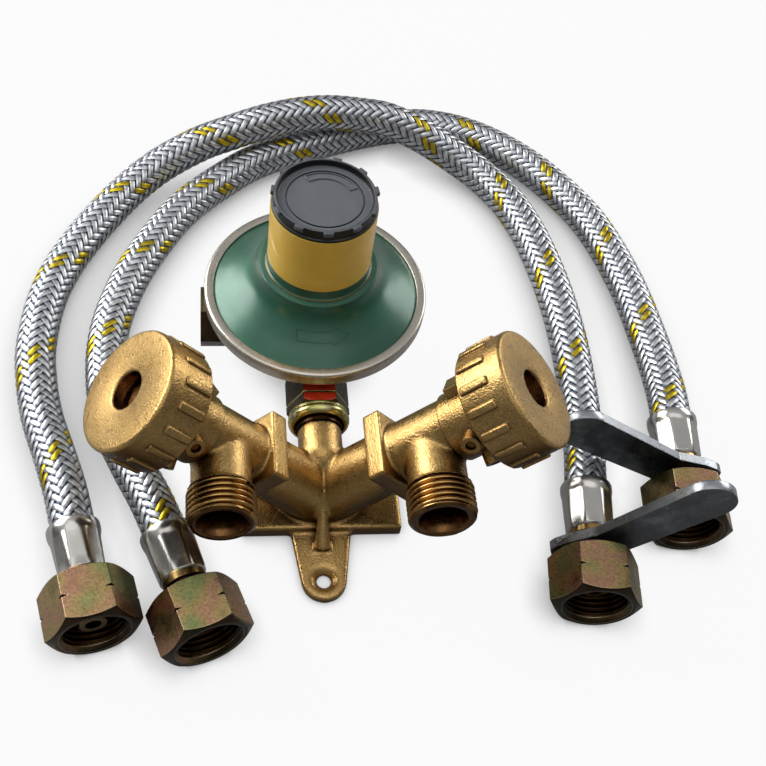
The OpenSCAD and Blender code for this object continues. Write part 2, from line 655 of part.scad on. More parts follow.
module lever() {
  y0 = pad_y + jet_pad_t;
  color([0.6, 0.6, 0.6]) difference() {
    translate([-lever_w / 2, 0, 0]) rotate([90, 0, 90]) linear_extrude(lever_w) union() {
      polygon([[y0, stem_z + 2.5], [y0, pivot_z - 1], [pivot_y + 1.5, pivot_z - 1.6], [reg_y + 1, roller_z - 2.2],
        [reg_y + 1, roller_z], [reg_y - 1, roller_z], [pivot_y + 1.5, pivot_z + 1.8], [y0 + 2, pivot_z + 2], [y0 + 2, stem_z + 2.5]]);
      translate([reg_y, roller_z]) circle(r = roller_r);
    }
    translate([-lever_w, pivot_y, pivot_z]) rotate([0, 90, 0]) cylinder(r = lever_pin_r + run_gap, h = lever_w * 2);
  }
}
module jet_pad() {
  color([0.1, 0.1, 0.1]) along_y(pad_y, stem_z) cylinder(r = jet_r + 0.4, h = jet_pad_t);
}
module lever_pin() {
  color([0.7, 0.7, 0.7]) translate([-lever_w / 2 - 4, pivot_y, pivot_z]) rotate([0, 90, 0]) cylinder(r = lever_pin_r, h = lever_w + 8);
}
module membrane() {
  color([0.15, 0.15, 0.15]) on_reg() rotate_extrude($fn = 96) polygon([[flange_r, joint_z], [flange_r, cover_z], [case_r - free_ring * 0.26, cover_z],
    [case_r - free_ring * 0.43, cover_z + membrane_t * 2], [case_r - free_ring * 0.67, cover_z + membrane_t * 2], [case_r - free_ring * 0.86, cover_z + membrane_t / 4],
    [disc_r + 0.5, cover_z + membrane_t / 4], [disc_r + 0.5, cover_z - membrane_t * 0.75], [case_r - free_ring * 0.83, cover_z - membrane_t * 0.75],
    [case_r - free_ring * 0.64, cover_z + membrane_t], [case_r - free_ring * 0.46, cover_z + membrane_t], [case_r - free_ring * 0.29, joint_z]]);
}
module membrane_plate() {
  color([0.66, 0.66, 0.66]) on_reg() {
    translate([0, 0, disc_z]) cylinder(r = disc_r, h = disc_t);
    translate([0, 0, roller_z + roller_r + face_gap / 2]) cylinder(r = 2.2, h = disc_z - roller_z);
    tube(spring_r - spring_wire - 0.3, spring_r - spring_wire - 1.6, disc_z + disc_t / 2, disc_z + disc_t + 2);
  }
}
module main_spring() {
  per = 16;
  n = spring_turns * per;
  z0 = spring_low + spring_wire + 0.05;
  z1 = adjuster_low - spring_wire - 0.05;
  mid = [for (k = [0:n]) [spring_r * cos(360 * k / per), spring_r * sin(360 * k / per), z0 + (z1 - z0) * k / n]];
  pts = [for (k = [0:n]) let (a = 360 * k / per) for (b = [0:5])
    mid[k] + spring_wire * (cos(60 * b) * [cos(a), sin(a), 0] + sin(60 * b) * [0, 0, 1])];
  side = [for (k = [0:n - 1]) for (b = [0:5]) let (c = (b + 1) % 6, o = k * 6) each
    [[o + b, o + 6 + c, o + c], [o + b, o + 6 + b, o + 6 + c]]];
  color([0.6, 0.6, 0.62]) on_reg() polyhedron(pts, concat(side, [[5, 4, 3, 2, 1, 0]], [[for (b = [0:5]) n * 6 + b]]), convexity = 10);
}
module adjuster() {
  color([0.7, 0.55, 0.3]) on_reg() difference() {
    translate([0, 0, adjuster_low]) cylinder(r = neck_in - seat_gap, h = adjuster_t);
    hex(8, adjuster_low - 1, adjuster_top + 1);
  }
}
// pressed cover: flange, flared cone and neck, one sheet thick
foot_r = neck_r + 2.4;
rim_r = crimp_inner_r - 0.1;
function flare(part, rise) = [foot_r + (rim_r - foot_r) * part, cover_z + neck_rise_in * rise];
neck_rise_in = neck_base - cover_z;
cone = [[flange_r, cover_z], [flange_r, cover_z + cover_t], [rim_r, cover_z + cover_t], flare(0.79, 0.215), flare(0.52, 0.38),
  flare(0.25, 0.59), flare(0.1, 0.79), flare(0.03, 0.96), [foot_r, neck_base], [neck_r + 0.7, neck_base + 0.5], [neck_r, neck_base + 1.6], [neck_r, neck_end]];
module reg_cover() {
  w = cover_t;
  inner = [for (k = [len(cone) - 4:-1:3]) [cone[k][0] - w * 0.66, cone[k][1] - w * 0.76]];
  color([0.05, 0.36, 0.22]) on_reg() rotate_extrude($fn = 96)
    polygon(concat(cone, [[neck_in, neck_end], [neck_in, neck_base + 0.6]], inner, [[rim_r - 1.6, cover_z]]));
}
module crimp_ring() {
  lo = joint_z - 1.4;
  hi = cover_z + cover_t;
  color([0.72, 0.6, 0.36]) on_reg() rotate_extrude($fn = 96) polygon([[case_r + 0.05, lo - crimp_t - 0.9], [case_r + 0.6, lo - crimp_t - 0.9], [flange_r + crimp_t, lo - crimp_t / 2],
    [flange_r + crimp_t, hi], [flange_r, hi + crimp_t], [crimp_inner_r, hi + crimp_t], [crimp_inner_r, hi], [flange_r, hi], [flange_r, lo], [case_r + 0.05, lo - 1]]);
}
module label_band() {
  color([0.85, 0.62, 0.12]) on_reg() tube(neck_r + label_t, neck_r, neck_end - label_h, neck_end - 0.1);
}
module cap() {
  top = cap_top;
  floor_z = top - cap_recess;
  color([0.09, 0.09, 0.1]) on_reg() difference() {
    union() {
      translate([0, 0, cap_low]) cylinder(r = neck_in - run_gap, h = cap_plug + 0.5);
      translate([0, 0, neck_end + face_gap]) cylinder(r = cap_r, h = cap_h - face_gap);
      for (k = [0:cap_lugs - 1]) rotate([0, 0, 360 * k / cap_lugs + 8]) translate([cap_r - 1, -1.2, neck_end + cap_h * 0.6]) cube([1.6, 2.4, cap_h * 0.4]);
    }
    translate([0, 0, floor_z]) cylinder(r1 = cap_face_r, r2 = cap_r - 1.2, h = cap_recess + 0.01);
    difference() {
      translate([0, 0, floor_z - 0.5]) cylinder(r = cap_face_r - 1.4, h = 1);
      translate([0, 0, floor_z - 1]) cylinder(r = cap_face_r - 1.9, h = 3);
    }
    intersection() {
      difference() {
        translate([0, 0, floor_z - 0.5]) cylinder(r = cap_face_r - 2.9, h = 1);
        translate([0, 0, floor_z - 1]) cylinder(r = cap_face_r - 5.2, h = 3);
      }
      linear_extrude(top + 1) polygon([[0, 0], [-cap_r, cap_r], [0, cap_r * 1.5], [cap_r, cap_r]]);
    }
    translate([0, 0, cap_low - 1]) cylinder(r = neck_in - 2, h = cap_plug - 0.5);
  }
}

// hose ends
module nipple(i) {
  flange = flange_at(i);
  start = nut_len + ends[i][3];
  color([0.72, 0.56, 0.28]) on_end(i) difference() {
    union() {
      translate([0, 0, flange - 2.8 - nose_len]) cylinder(r1 = 3.9, r2 = 4.6, h = 0.8);
      translate([0, 0, flange - 2 - nose_len]) cylinder(r1 = 4.6, r2 = 6.9, h = nose_len - 0.8);
      translate([0, 0, flange - 2.8]) cylinder(r = nose_flange_r, h = 2.8);
      translate([0, 0, flange - 0.5]) cylinder(r = neck_hose_r, h = start - flange);
      translate([0, 0, start - collar_t]) cylinder(r = neck_hose_r + 1.6, h = collar_t);
      translate([0, 0, start - 0.5]) cylinder(r = neck_hose_r - 1, h = ferrule_len + 0.5);
    }
    translate([0, 0, flange - 4 - nose_len]) cylinder(r = nose_bore_r, h = (nut_len + ferrule_len) * 2);
  }
}
module nipple_1() { nipple(0); }
module nipple_2() { nipple(1); }
module nipple_3() { nipple(2); }
module nipple_4() { nipple(3); }
module ferrule(i) {
  start = nut_len + ends[i][3];
  r = ferrule_af / 2;
  color([0.72, 0.7, 0.64]) on_end(i) difference() {
    union() {
      intersection() {
        translate([0, 0, start]) rotate([0, 0, 22.5]) cylinder(r = r / cos(22.5), h = ferrule_len - 1.5, $fn = 8);
        translate([0, 0, start]) cylinder(r1 = r - 1.2, r2 = r + ferrule_len - 1.2, h = ferrule_len);
      }
      translate([0, 0, start + ferrule_len - 2.4]) cylinder(r = r / cos(22.5) + 0.15, h = 2.4);
    }
    translate([0, 0, start - 1]) cylinder(r = neck_hose_r - 1, h = ferrule_len + 2);
  }
}
module ferrule_1() { ferrule(0); }
module ferrule_2() { ferrule(1); }
module ferrule_3() { ferrule(2); }
module ferrule_4() { ferrule(3); }
module hose_nut(i) {
  ac = nut_af / 2 / cos(30);
  color([0.6, 0.5, 0.3]) on_end(i) difference() {
    intersection() {
      hex(nut_af, 0, nut_len);
      rotate_extrude() polygon([[0, 0], [nut_af / 2 - 0.7, 0], [ac + 0.1, 1.6], [ac + 0.1, nut_len / 2 - 0.5], [ac - 0.9, nut_len / 2],
        [ac + 0.1, nut_len / 2 + 0.5], [ac + 0.1, nut_len - 1.3], [nut_af / 2 - 0.4, nut_len], [0, nut_len]]);
    }
    translate([0, 0, -1]) cylinder(r = nut_thread_r, h = nut_depth + 1);
    translate([0, 0, -0.01]) cylinder(r1 = nut_thread_r + 1.3, r2 = nut_thread_r, h = 1.3);
    translate([0, 0, nut_depth]) cylinder(r = neck_hose_r + run_gap, h = nut_len);
  }
}
module hose_nut_1() { hose_nut(0); }
module hose_nut_2() { hose_nut(1); }
module hose_nut_3() { hose_nut(2); }
module hose_nut_4() { hose_nut(3); }

// key plates hanging on the necks of ends 3 and 4
module key_plate() {
  h = key_head;
  linear_extrude(key_t) difference() {
    union() {
      polygon([[-10.4, -h + 3.4], [-8.6, -h + 0.6], [-6.4, -h], [-1.5, -h + 0.5], [7, -key_half + 1.2], [key_reach - key_half, -key_half],
        [key_reach - key_half, key_half], [7, key_half - 1.2], [-1.5, h - 0.5], [-6.4, h], [-8.6, h - 0.6], [-10.4, h - 3.4]]);
      translate([key_reach - key_half, 0]) circle(r = key_half);
    }
    circle(r = neck_hose_r + key_clear);
  }
}
module key_3() {
  color([0.3, 0.31, 0.33]) on_end(2) translate([0, 0, nut_len + key_from_3]) rotate([0, 0, -52]) key_plate();
}
module key_4() {
  color([0.3, 0.31, 0.33]) on_end(3) translate([0, 0, nut_len + ends[3][3] - collar_t - 0.3 - key_t]) rotate([0, 0, -180 + 29]) key_plate();
}
module hose_a() {
  color([0.7, 0.72, 0.74]) sweep(route(0, 2, mid_a), heading(0), -heading(2));
}
module hose_b() {
  color([0.7, 0.72, 0.74]) sweep(route(1, 3, mid_b), heading(1), -heading(3));
}

manifold();
bonnet_l();
bonnet_r();
boss_pins();
packing_l();
packing_r();
gland_nut_l();
gland_nut_r();
spindle_l();
spindle_r_();  // spindle_r
handwheel_l();
handwheel_r();
wheel_nut_l();
wheel_nut_r();
plug_l();
plug_r();
seat_pad_l();
seat_pad_r();
stem_ring();
union_nut();
union_gasket();
inlet_nipple();
red_sleeve();
reg_lower();
jet();
lever();
jet_pad();
lever_pin();
membrane();
membrane_plate();
main_spring();
adjuster();
reg_cover();
crimp_ring();
label_band();
cap();
nipple_1();
nipple_2();
nipple_3();
nipple_4();
ferrule_1();
ferrule_2();
ferrule_3();
ferrule_4();
hose_nut_1();
hose_nut_2();
hose_nut_3();
hose_nut_4();
key_3();
key_4();
hose_a();
hose_b();
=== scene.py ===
"""Two cylinder gas regulator set, dressed for rendering on its CAD frame."""
import bpy
import bmesh
import numpy as np
from math import atan2, cos, pi, radians, sin
from mathutils import Matrix, Vector


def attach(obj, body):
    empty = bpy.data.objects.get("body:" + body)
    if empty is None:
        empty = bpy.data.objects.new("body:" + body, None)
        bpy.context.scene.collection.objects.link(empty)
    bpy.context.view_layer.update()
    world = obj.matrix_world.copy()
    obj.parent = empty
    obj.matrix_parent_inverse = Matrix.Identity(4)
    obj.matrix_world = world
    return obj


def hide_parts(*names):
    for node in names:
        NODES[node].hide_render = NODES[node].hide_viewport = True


bl_info = {
    "name": "Two cylinder regulator set",
    "version": (1, 0, 0),
    "blender": (4, 5, 0),
    "location": "View3D > Sidebar > Regulator",
    "description": "Dresses the valve manifold, regulator, braided hoses and keys",
    "category": "Object",
}

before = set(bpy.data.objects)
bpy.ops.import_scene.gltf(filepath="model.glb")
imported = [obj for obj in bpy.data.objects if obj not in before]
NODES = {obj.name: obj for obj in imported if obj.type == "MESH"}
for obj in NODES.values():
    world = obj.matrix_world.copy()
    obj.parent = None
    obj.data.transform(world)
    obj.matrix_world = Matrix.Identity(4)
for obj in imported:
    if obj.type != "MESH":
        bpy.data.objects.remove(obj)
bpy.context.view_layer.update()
MM = Matrix.Scale(0.001, 4)

# Sizes of the set are in millimetres, in the frame of the fixing hole, and depths and
# reaches of the finishes are in metres.

# valves: where their two lines cross, and sizes along each line from there
CROSS = (0.0, 27.0, 6.0)
SIDES = ((-1, "l"), (1, "r"))
PORT_AT, PORT_REACH, PORT_LEN, PORT_R = 43.8, 27.5, 10.5, 10.0
WHEEL_LOW, WHEEL_TOP, WHEEL_R, GRIP_BARS = 65.0, 80.0, 19.0, 16
THREAD_PITCH = 1.75

# casting: the drums that cut its ports away, the grid of its remesh in metres, and the
# passes that ease its edges
CUT_R, CUT_LEN, CUT_GAP, CAST_GRID, CAST_EASE = 10.6, 14, 0.2, 0.00052, 12

# stem, union and regulator
STEM_Z, REG_Y = 17.0, 87.1
UNION_LOW, UNION_MID, UNION_TOP, SLEEVE_END, UNION_CORNER = 45.1, 49.5, 52.9, 62.5, 10.0
JOINT_Z, COVER_Z, COVER_T, NECK_BASE, NECK_END, CAP_TOP = 33.0, 33.8, 1.3, 48.0, 73.5, 77.5
CAP_FLOOR, CAP_LUGS = CAP_TOP - 1.9, 11

# flow arrow on the cover: its angle, radius, and outline of (along, across)
ARROW_AT, ARROW_R = -1.55, 24.4
ARROW = ((-8.4, 1.7), (3.2, 1.7), (3.2, 2.9), (8.4, 0), (3.2, -2.9), (3.2, -1.7), (-8.4, -1.7))

# hose ends: place of the nut's mouth, heading in degrees, bare neck between nut and ferrule
ENDS = ((-65.8, -20.5, -14.0, 2.2), (-34.2, -24.3, -20.0, 5.4),
        (78.6, -16.1, 6.6, 8.5), (113.3, 8.5, 5.7, 9.2))
NUT_LEN, NUT_Z, FERRULE_LEN = 16.2, 12.0, 16.5

# braid: outer radius, bands each way, and the two bands with coloured wires
HOSE_R, BANDS, TRACER_BANDS = 6.7, 12, (2, 3)
# depths of its core and of a band's edge and middle, and how far a band rises and falls
CORE_DEPTH, BAND_DEPTH, BAND_MIDDLE, BAND_LIFT, CORE_SIDES = 0.62, 0.20, 0.17, 0.15, 20
MID_A = ((-77.6, 27, 11.2), (-82, 41, 9), (-87, 56, 7.4), (-90, 70, 7), (-91.4, 86, 7),
         (-89, 108, 7), (-81.6, 129, 7), (-68.3, 152, 7.6), (-54.5, 167.5, 10), (-39, 176.5, 14),
         (-26, 180.3, 17.4), (-12.5, 183.6, 20.4), (0, 186.6, 21.4), (12, 188.4, 21.3),
         (24, 188.6, 20.2), (35, 187.4, 19), (48, 184, 14.6), (60, 178.6, 10),
         (71, 169.4, 7.4), (79.5, 156, 7), (85, 140, 7), (88.4, 122, 7), (90.2, 106, 7),
         (90.8, 88, 7), (90.2, 70, 7), (88.6, 54, 8), (86, 38, 10.4))
MID_B = ((-52.2, 24, 11.2), (-58.6, 38, 9), (-65, 54, 7.4), (-67.9, 71.7, 7), (-68.1, 88.4, 7),
         (-65, 105, 7), (-58.2, 123.8, 7), (-44.1, 149, 7), (-25.4, 168.5, 7), (-12.5, 177.8, 7),
         (4, 185.4, 7), (20, 191.6, 7), (36, 196.4, 7), (52, 198, 7), (68, 193.6, 7),
         (83, 183.6, 7), (96.5, 168.6, 7), (109.5, 146, 7), (117, 118, 7), (119.8, 90, 7.4),
         (119.6, 66, 9.6))
# hoses: piece, ends, route between them, CAD node, share of the pitch, start in turns
HOSES = (("hose_outer", 0, 2, MID_A, "hose_a", 1.037, -0.361),
         ("hose_inner", 1, 3, MID_B, "hose_b", 0.967, 0.12))

# camera solved on the photograph: turn in degrees, place in millimetres, lens in pixels
VIEW_YAW, VIEW_PITCH, VIEW_ROLL = 10.09, 52.11, 7.91
VIEW_AT = (-34.74, -164.12, 325.10)
IMAGE, FOCAL, CENTRE_X, CENTRE_Y, SENSOR = 766, 1190, 336.38, 359.64, 36

# lamps: name, place and aim in metres, width, share of the key light
LAMPS = (("key_lamp", (-0.70, 0.56, 0.50), (0, 0.06, 0.02), 0.7, 1.0),
         ("side_lamp", (0.75, 0.56, 0.33), (0, 0.06, 0.02), 0.45, 0.26),
         ("top_lamp", (-0.05, -0.10, 1.5), (0, 0, 0), 1.5, 0.45))
# sky over the object, dark at the horizon, its strength, and the share of white for the camera
SKY = ((0.1, (0.07, 0.07, 0.075)), (0.85, (0.62, 0.62, 0.64)))
SKY_STRENGTH, SKY_SHOWN = 0.72, 0.98
FLOOR_HALF, FLOOR_Z = 6, -0.00005


def end_length(i):
    """Length from the mouth of a hose's nut to where the bare hose starts."""
    return NUT_LEN + ENDS[i][3] + FERRULE_LEN


def end_point(i, d):
    """A point on the line of a hose end, at a distance from the nut's mouth."""
    a = radians(ENDS[i][2])
    return Vector((ENDS[i][0], ENDS[i][1], NUT_Z)) + Vector((sin(a), cos(a), 0)) * d


def end_place(i):
    """Place of a hose end: local Z runs from the nut's mouth back along the hose."""
    return (MM @ Matrix.Translation(end_point(i, 0.0))
            @ Matrix.Rotation(-radians(ENDS[i][2]), 4, "Z") @ Matrix.Rotation(-pi / 2, 4, "X"))


def valve_place(side):
    """Place of a valve: local Z runs from the crossing out through the handwheel."""
    return MM @ Matrix.Translation(CROSS) @ Matrix.Rotation(side * pi / 4, 4, "Y")


def port_place(side, out=0.0):
    """Place of a port, some way out from its valve's line: local Z runs out through it."""
    turn = Matrix.Rotation(pi / 2, 4, "X")
    return valve_place(side) @ Matrix.Translation((0, -out, PORT_AT)) @ turn


def regulator_place():
    """Place of the regulator: local Z runs up its axis."""
    return MM @ Matrix.Translation((0, REG_Y, 0.0))


def stem_place():
    """Place of the stem: local Z runs along it, towards the regulator."""
    return MM @ Matrix.Translation((0, 0, STEM_Z)) @ Matrix.Rotation(-pi / 2, 4, "X")


# -------------------------------- finishes

def times(tint, share, add=0.0):
    """A colour times one number or one for each channel, kept below white."""
    shares = share if isinstance(share, tuple) else (share,) * 3
    return [min(1, c * k + add) for c, k in zip(tint, shares)]


class Graph:
    """A node tree under construction."""

    def __init__(self, tree, coordinates):
        self.tree = tree
        self.coord = self.node("ShaderNodeTexCoord").outputs[coordinates]

    def node(self, kind, **values):
        """A new node, with settings by their own names and inputs by names with _ for a space."""
        n = self.tree.nodes.new(kind)
        for key, value in values.items():
            if hasattr(n, key):
                setattr(n, key, value)
            else:
                n.inputs[key.replace("_", " ")].default_value = value
        return n

    def wire(self, a, b):
        self.tree.links.new(a, b)

    def noise(self, scale, detail=3.0, rough=0.55, stretch=None):
        n = self.node("ShaderNodeTexNoise", Scale=scale, Detail=detail, Roughness=rough)
        source = self.coord
        if stretch:
            m = self.node("ShaderNodeMapping", Scale=stretch)
            self.wire(self.coord, m.inputs["Vector"])
            source = m.outputs["Vector"]
        self.wire(source, n.inputs["Vector"])
        return n.outputs["Fac"]

    def grit(self, scale):
        n = self.node("ShaderNodeTexVoronoi", Scale=scale)
        self.wire(self.coord, n.inputs["Vector"])
        return n.outputs["Distance"]

    def part(self, vector, axis):
        """One axis of a vector."""
        split = self.node("ShaderNodeSeparateXYZ")
        self.wire(vector, split.inputs[0])
        return split.outputs[axis]

    def facing(self, axis):
        """How far the surface faces along one axis of the object."""
        return self.part(self.node("ShaderNodeTexCoord").outputs["Normal"], axis)

    def ramp(self, fac, stops):
        r = self.node("ShaderNodeValToRGB")
        while len(r.color_ramp.elements) < len(stops):
            r.color_ramp.elements.new(0.5)
        for e, (at, colour) in zip(r.color_ramp.elements, stops):
            e.position, e.color = at, (*colour, 1)
        self.wire(fac, r.inputs["Fac"])
        return r.outputs["Color"]

    def mix(self, fac, a, b):
        m = self.node("ShaderNodeMix", data_type="RGBA")
        self.wire(fac, m.inputs["Factor"])
        for socket, value in ((m.inputs["A"], a), (m.inputs["B"], b)):
            if isinstance(value, bpy.types.NodeSocket):
                self.wire(value, socket)
            else:
                socket.default_value = (*value, 1)
        return m.outputs["Result"]

    def number(self, op, a, b=0.5):
        m = self.node("ShaderNodeMath", operation=op)
        for socket, value in zip(m.inputs, (a, b)):
            if isinstance(value, bpy.types.NodeSocket):
                self.wire(value, socket)
            else:
                socket.default_value = value
        return m.outputs[0]

    def span(self, fac, low, high, start=0.0, end=1.0):
        m = self.node("ShaderNodeMapRange", From_Min=start, From_Max=end, To_Min=low, To_Max=high)
        self.wire(fac, m.inputs["Value"])
        return m.outputs["Result"]

    def hollow(self, reach):
        """0 in corners and hollows, 1 in the open."""
        return self.node("ShaderNodeAmbientOcclusion", samples=8, Distance=reach).outputs["AO"]

    def output(self, fac, a, b, surface):
        """Shows one shader, mixed with a second by a share, on the tree's output."""
        blend = self.node("ShaderNodeMixShader")
        for k, socket in enumerate((fac, a, b)):
            self.wire(socket, blend.inputs[k])
        self.wire(blend.outputs[0], surface.inputs["Surface"])


class Finish(Graph):
    """A material under construction, on Object coordinates."""

    def __init__(self, name, edge=0.0, **values):
        """Values go to the shader's inputs, and an edge rounds the light on sharp edges."""
        self.mat = bpy.data.materials.new(name)
        self.mat.use_nodes = True
        super().__init__(self.mat.node_tree, "Object")
        self.shader = self.tree.nodes["Principled BSDF"]
        self.normal = None
        for key, value in values.items():
            self.shader.inputs[key.replace("_", " ")].default_value = value
        if edge:
            self.bend(self.node("ShaderNodeBevel", samples=6, Radius=edge))

    def bend(self, n):
        """Hands a node's normal on to the shader."""
        self.normal = n.outputs["Normal"]
        self.wire(self.normal, self.shader.inputs["Normal"])

    def shade_hollows(self, colour, dark, reach, start, end):
        """A colour with painted shade in corners and hollows."""
        return self.mix(self.span(self.hollow(reach), 0.0, 1.0, start, end), dark, colour)

    def unshaded_faces(self):
        """0 on the faces that look down and forward, which get painted shade, 1 on the rest."""
        low = self.number("ADD", self.number("MULTIPLY", self.facing("Y"), -0.55),
                          self.number("MULTIPLY", self.facing("Z"), -0.85))
        return self.span(low, 1.0, 0.0, 0.0, 0.62)

    def colour(self, socket):
        self.wire(socket, self.shader.inputs["Base Color"])

    def roughness(self, low, high, fac, start=0.3, end=0.7):
        self.wire(self.span(fac, low, high, start, end), self.shader.inputs["Roughness"])

    def bump(self, height, depth, strength=0.6):
        b = self.node("ShaderNodeBump", Strength=strength, Distance=depth)
        self.wire(height, b.inputs["Height"])
        if self.normal:
            self.wire(self.normal, b.inputs["Normal"])
        self.bend(b)


def cast_brass(name, tint):
    """Sand cast brass: grainy, with bright specks as painted glints, and painted shade in hollows,
    below and on forward faces.
    """
    f = Finish(name, 0.0004, Metallic=0.97)
    warm = f.ramp(f.noise(90, 4, 0.6), ((0.25, times(tint, (0.84, 0.76, 0.6))), (0.5, tint),
                                        (0.78, times(tint, 1.1))))
    # bright specks: painted glints
    grain_glints = f.mix(f.span(f.noise(2100, 2, 0.5), 0.0, 0.6, 0.44, 0.62), warm,
                  times(tint, 1.45, 0.02))
    pits = f.mix(f.span(f.noise(1900, 2, 0.6), 0.0, 0.35, 0.48, 0.66), grain_glints, (0.24, 0.13, 0.04))
    # faces that look down and forward: painted shade
    low_side_shade = f.mix(f.unshaded_faces(), (0.085, 0.044, 0.014), pits)
    # painted shade close to the floor and under parts, then in small creases
    shade = f.shade_hollows(low_side_shade, (0.20, 0.105, 0.033), 0.016, 0.2, 0.7)
    f.colour(f.shade_hollows(shade, (0.08, 0.036, 0.011), 0.003, 0.4, 0.95))
    f.roughness(0.24, 0.38, f.noise(420, 3))
    f.bump(f.noise(2000, 2, 0.5), 0.00018, 0.8)
    f.bump(f.noise(500, 2, 0.5), 0.0002, 0.35)
    return f.mat


def turned_brass(name, tint, dark=(0.17, 0.075, 0.02), reach=0.0018):
    """Turned brass, with painted shade in its grooves and on faces that look down and forward."""
    f = Finish(name, 0.0002, Metallic=1.0)
    shade = f.ramp(f.noise(160, 3), ((0.3, times(tint, 0.66)), (0.7, tint)))
    # faces that look down and forward, and grooves in the colour dark: painted shade
    low_side_shade = f.mix(f.unshaded_faces(), times(tint, 0.3), shade)
    f.colour(f.shade_hollows(low_side_shade, dark, reach, 0.3, 0.9))
    f.roughness(0.18, 0.32, f.noise(700, 2))
    f.bump(f.noise(2200, 2, 0.5), 0.00003, 0.3)
    return f.mat


def passivated_steel(name, film):
    """Yellow chromate film gone brown, green and rose, painted nearly black as shade inside and on
    forward faces.
    """
    f = Finish(name, 0.0004, Metallic=1.0)
    film = f.ramp(f.noise(42, 2, 0.5), film)
    speck = f.mix(f.span(f.noise(1300, 3, 0.7), 0.0, 0.7, 0.42, 0.72), film, (0.16, 0.11, 0.06))
    # forward faces and the hollows inside the nut turn nearly black: painted shade
    front_shade = f.mix(f.span(f.facing("Y"), 0.0, 0.94, -0.35, -0.7), speck, (0.024, 0.018, 0.012))
    f.colour(f.shade_hollows(front_shade, (0.010, 0.007, 0.004), 0.012, 0.3, 0.85))
    f.roughness(0.22, 0.38, f.noise(300, 3))
    f.bump(f.noise(1900, 3, 0.7), 0.00007, 0.4)
    return f.mat


def yellow_zinc(name, film):
    """Thin yellow and green chromate film on bright zinc."""
    f = Finish(name, 0.0004, Metallic=1.0)
    f.colour(f.ramp(f.noise(110, 3), film))
    f.roughness(0.16, 0.3, f.noise(600, 2))
    f.bump(f.noise(1500, 2), 0.00005, 0.3)
    return f.mat


def polished(name, tint, low, high, dull=0.7):
    """Plated or drawn metal with faint clouds; low and high are its roughness."""
    f = Finish(name, 0.0003, Metallic=1.0)
    f.colour(f.ramp(f.noise(130, 3), ((0.3, times(tint, dull)), (0.7, tint))))
    f.roughness(low, high, f.noise(800, 3, 0.6))
    f.bump(f.noise(1500, 2, 0.5), 0.00003, 0.15)
    return f.mat


def rubber(name, tint):
    """Dull rubber."""
    f = Finish(name)
    f.colour(f.ramp(f.noise(300, 3), ((0.3, times(tint, 0.7)), (0.75, times(tint, 1.5)))))
    f.roughness(0.55, 0.75, f.noise(900, 2), 0.0, 1.0)
    f.bump(f.noise(3000, 2), 0.00006, 0.3)
    return f.mat


def moulded(name, tint, low, high, coat=0.0, cloud=0.2):
    """Moulded plastic or a printed band; low and high are its roughness."""
    f = Finish(name, 0.0003, Coat_Weight=coat)
    f.colour(f.ramp(f.noise(180, 3), ((0.3, times(tint, 1 - cloud)),
                                      (0.7, times(tint, 1 + cloud * 0.7)))))
    f.roughness(low, high, f.noise(500, 3))
    f.bump(f.noise(2600, 2), 0.00005, 0.35)
    return f.mat


def metallic_paint(name, tint):
    """Paint with fine metal flakes under a soft coat."""
    f = Finish(name, Metallic=0.45, Coat_Weight=0.8, Coat_Roughness=0.24)
    deep = f.ramp(f.noise(60, 2), ((0.3, times(tint, 0.85)), (0.7, times(tint, 1.15))))
    f.colour(f.mix(f.span(f.grit(5200), 0.3, 0.0, 0.0, 0.35), deep, times(tint, 2.4, 0.015)))
    f.roughness(0.40, 0.50, f.noise(900, 2))
    f.bump(f.noise(2600, 2, 0.6), 0.00004, 0.35)
    return f.mat


def black_case(name, film):
    """Dark casting finish; on the union's side flats it stands for painted shade."""
    f = Finish(name, 0.0005, Metallic=0.6)
    f.colour(f.ramp(f.noise(120, 3), film))
    f.roughness(0.3, 0.48, f.noise(500, 2))
    f.bump(f.noise(1500, 3), 0.0001, 0.4)
    return f.mat


def stamped_steel(name, face):
    """Dark oiled plate of the keys, bright along its cut edges."""
    f = Finish(name, 0.0004, Metallic=0.9)
    cut = f.span(f.number("ABSOLUTE", f.facing("Y")), 0.85, 0.0, 0.4, 0.85)
    f.colour(f.mix(cut, f.ramp(f.noise(60, 5, 0.75, (1, 2.5, 1)), face), (0.40, 0.42, 0.44)))
    f.roughness(0.22, 0.42, f.noise(350, 4, 0.7, (1, 1, 0.3)))
    f.bump(f.noise(900, 4, 0.7), 0.00006, 0.4)
    return f.mat


def braid_wire(name, tint):
    """Bands of five fine wires; the piece's own UV runs across a band, and from under to over. A
    band gets painted shade where it dips under another and in the gaps.
    """
    f = Finish(name, Metallic=0.95)
    uv = f.node("ShaderNodeUVMap", uv_map="band").outputs["UV"]
    wires = f.number("SINE", f.number("MULTIPLY", f.part(uv, "X"), 2 * pi * 5))
    shade = f.ramp(f.noise(420, 2), ((0.36, times(tint, 0.55)), (0.6, tint)))
    lined = f.mix(f.span(wires, 0.0, 0.3, 0.0, -1.0), shade, times(tint, 0.6))
    # dark: painted shade where a band dips under another, and in the gaps between bands
    dark = times(tint, (0.10, 0.12, 0.16))
    under = f.mix(f.span(f.part(uv, "Y"), 0.0, 1.0, 0.3, 0.85), dark, lined)
    f.colour(f.shade_hollows(under, dark, 0.0010, 0.3, 0.85))
    f.roughness(0.32, 0.44, f.noise(1200, 2))
    f.bump(wires, 0.00002, 0.2)
    return f.mat


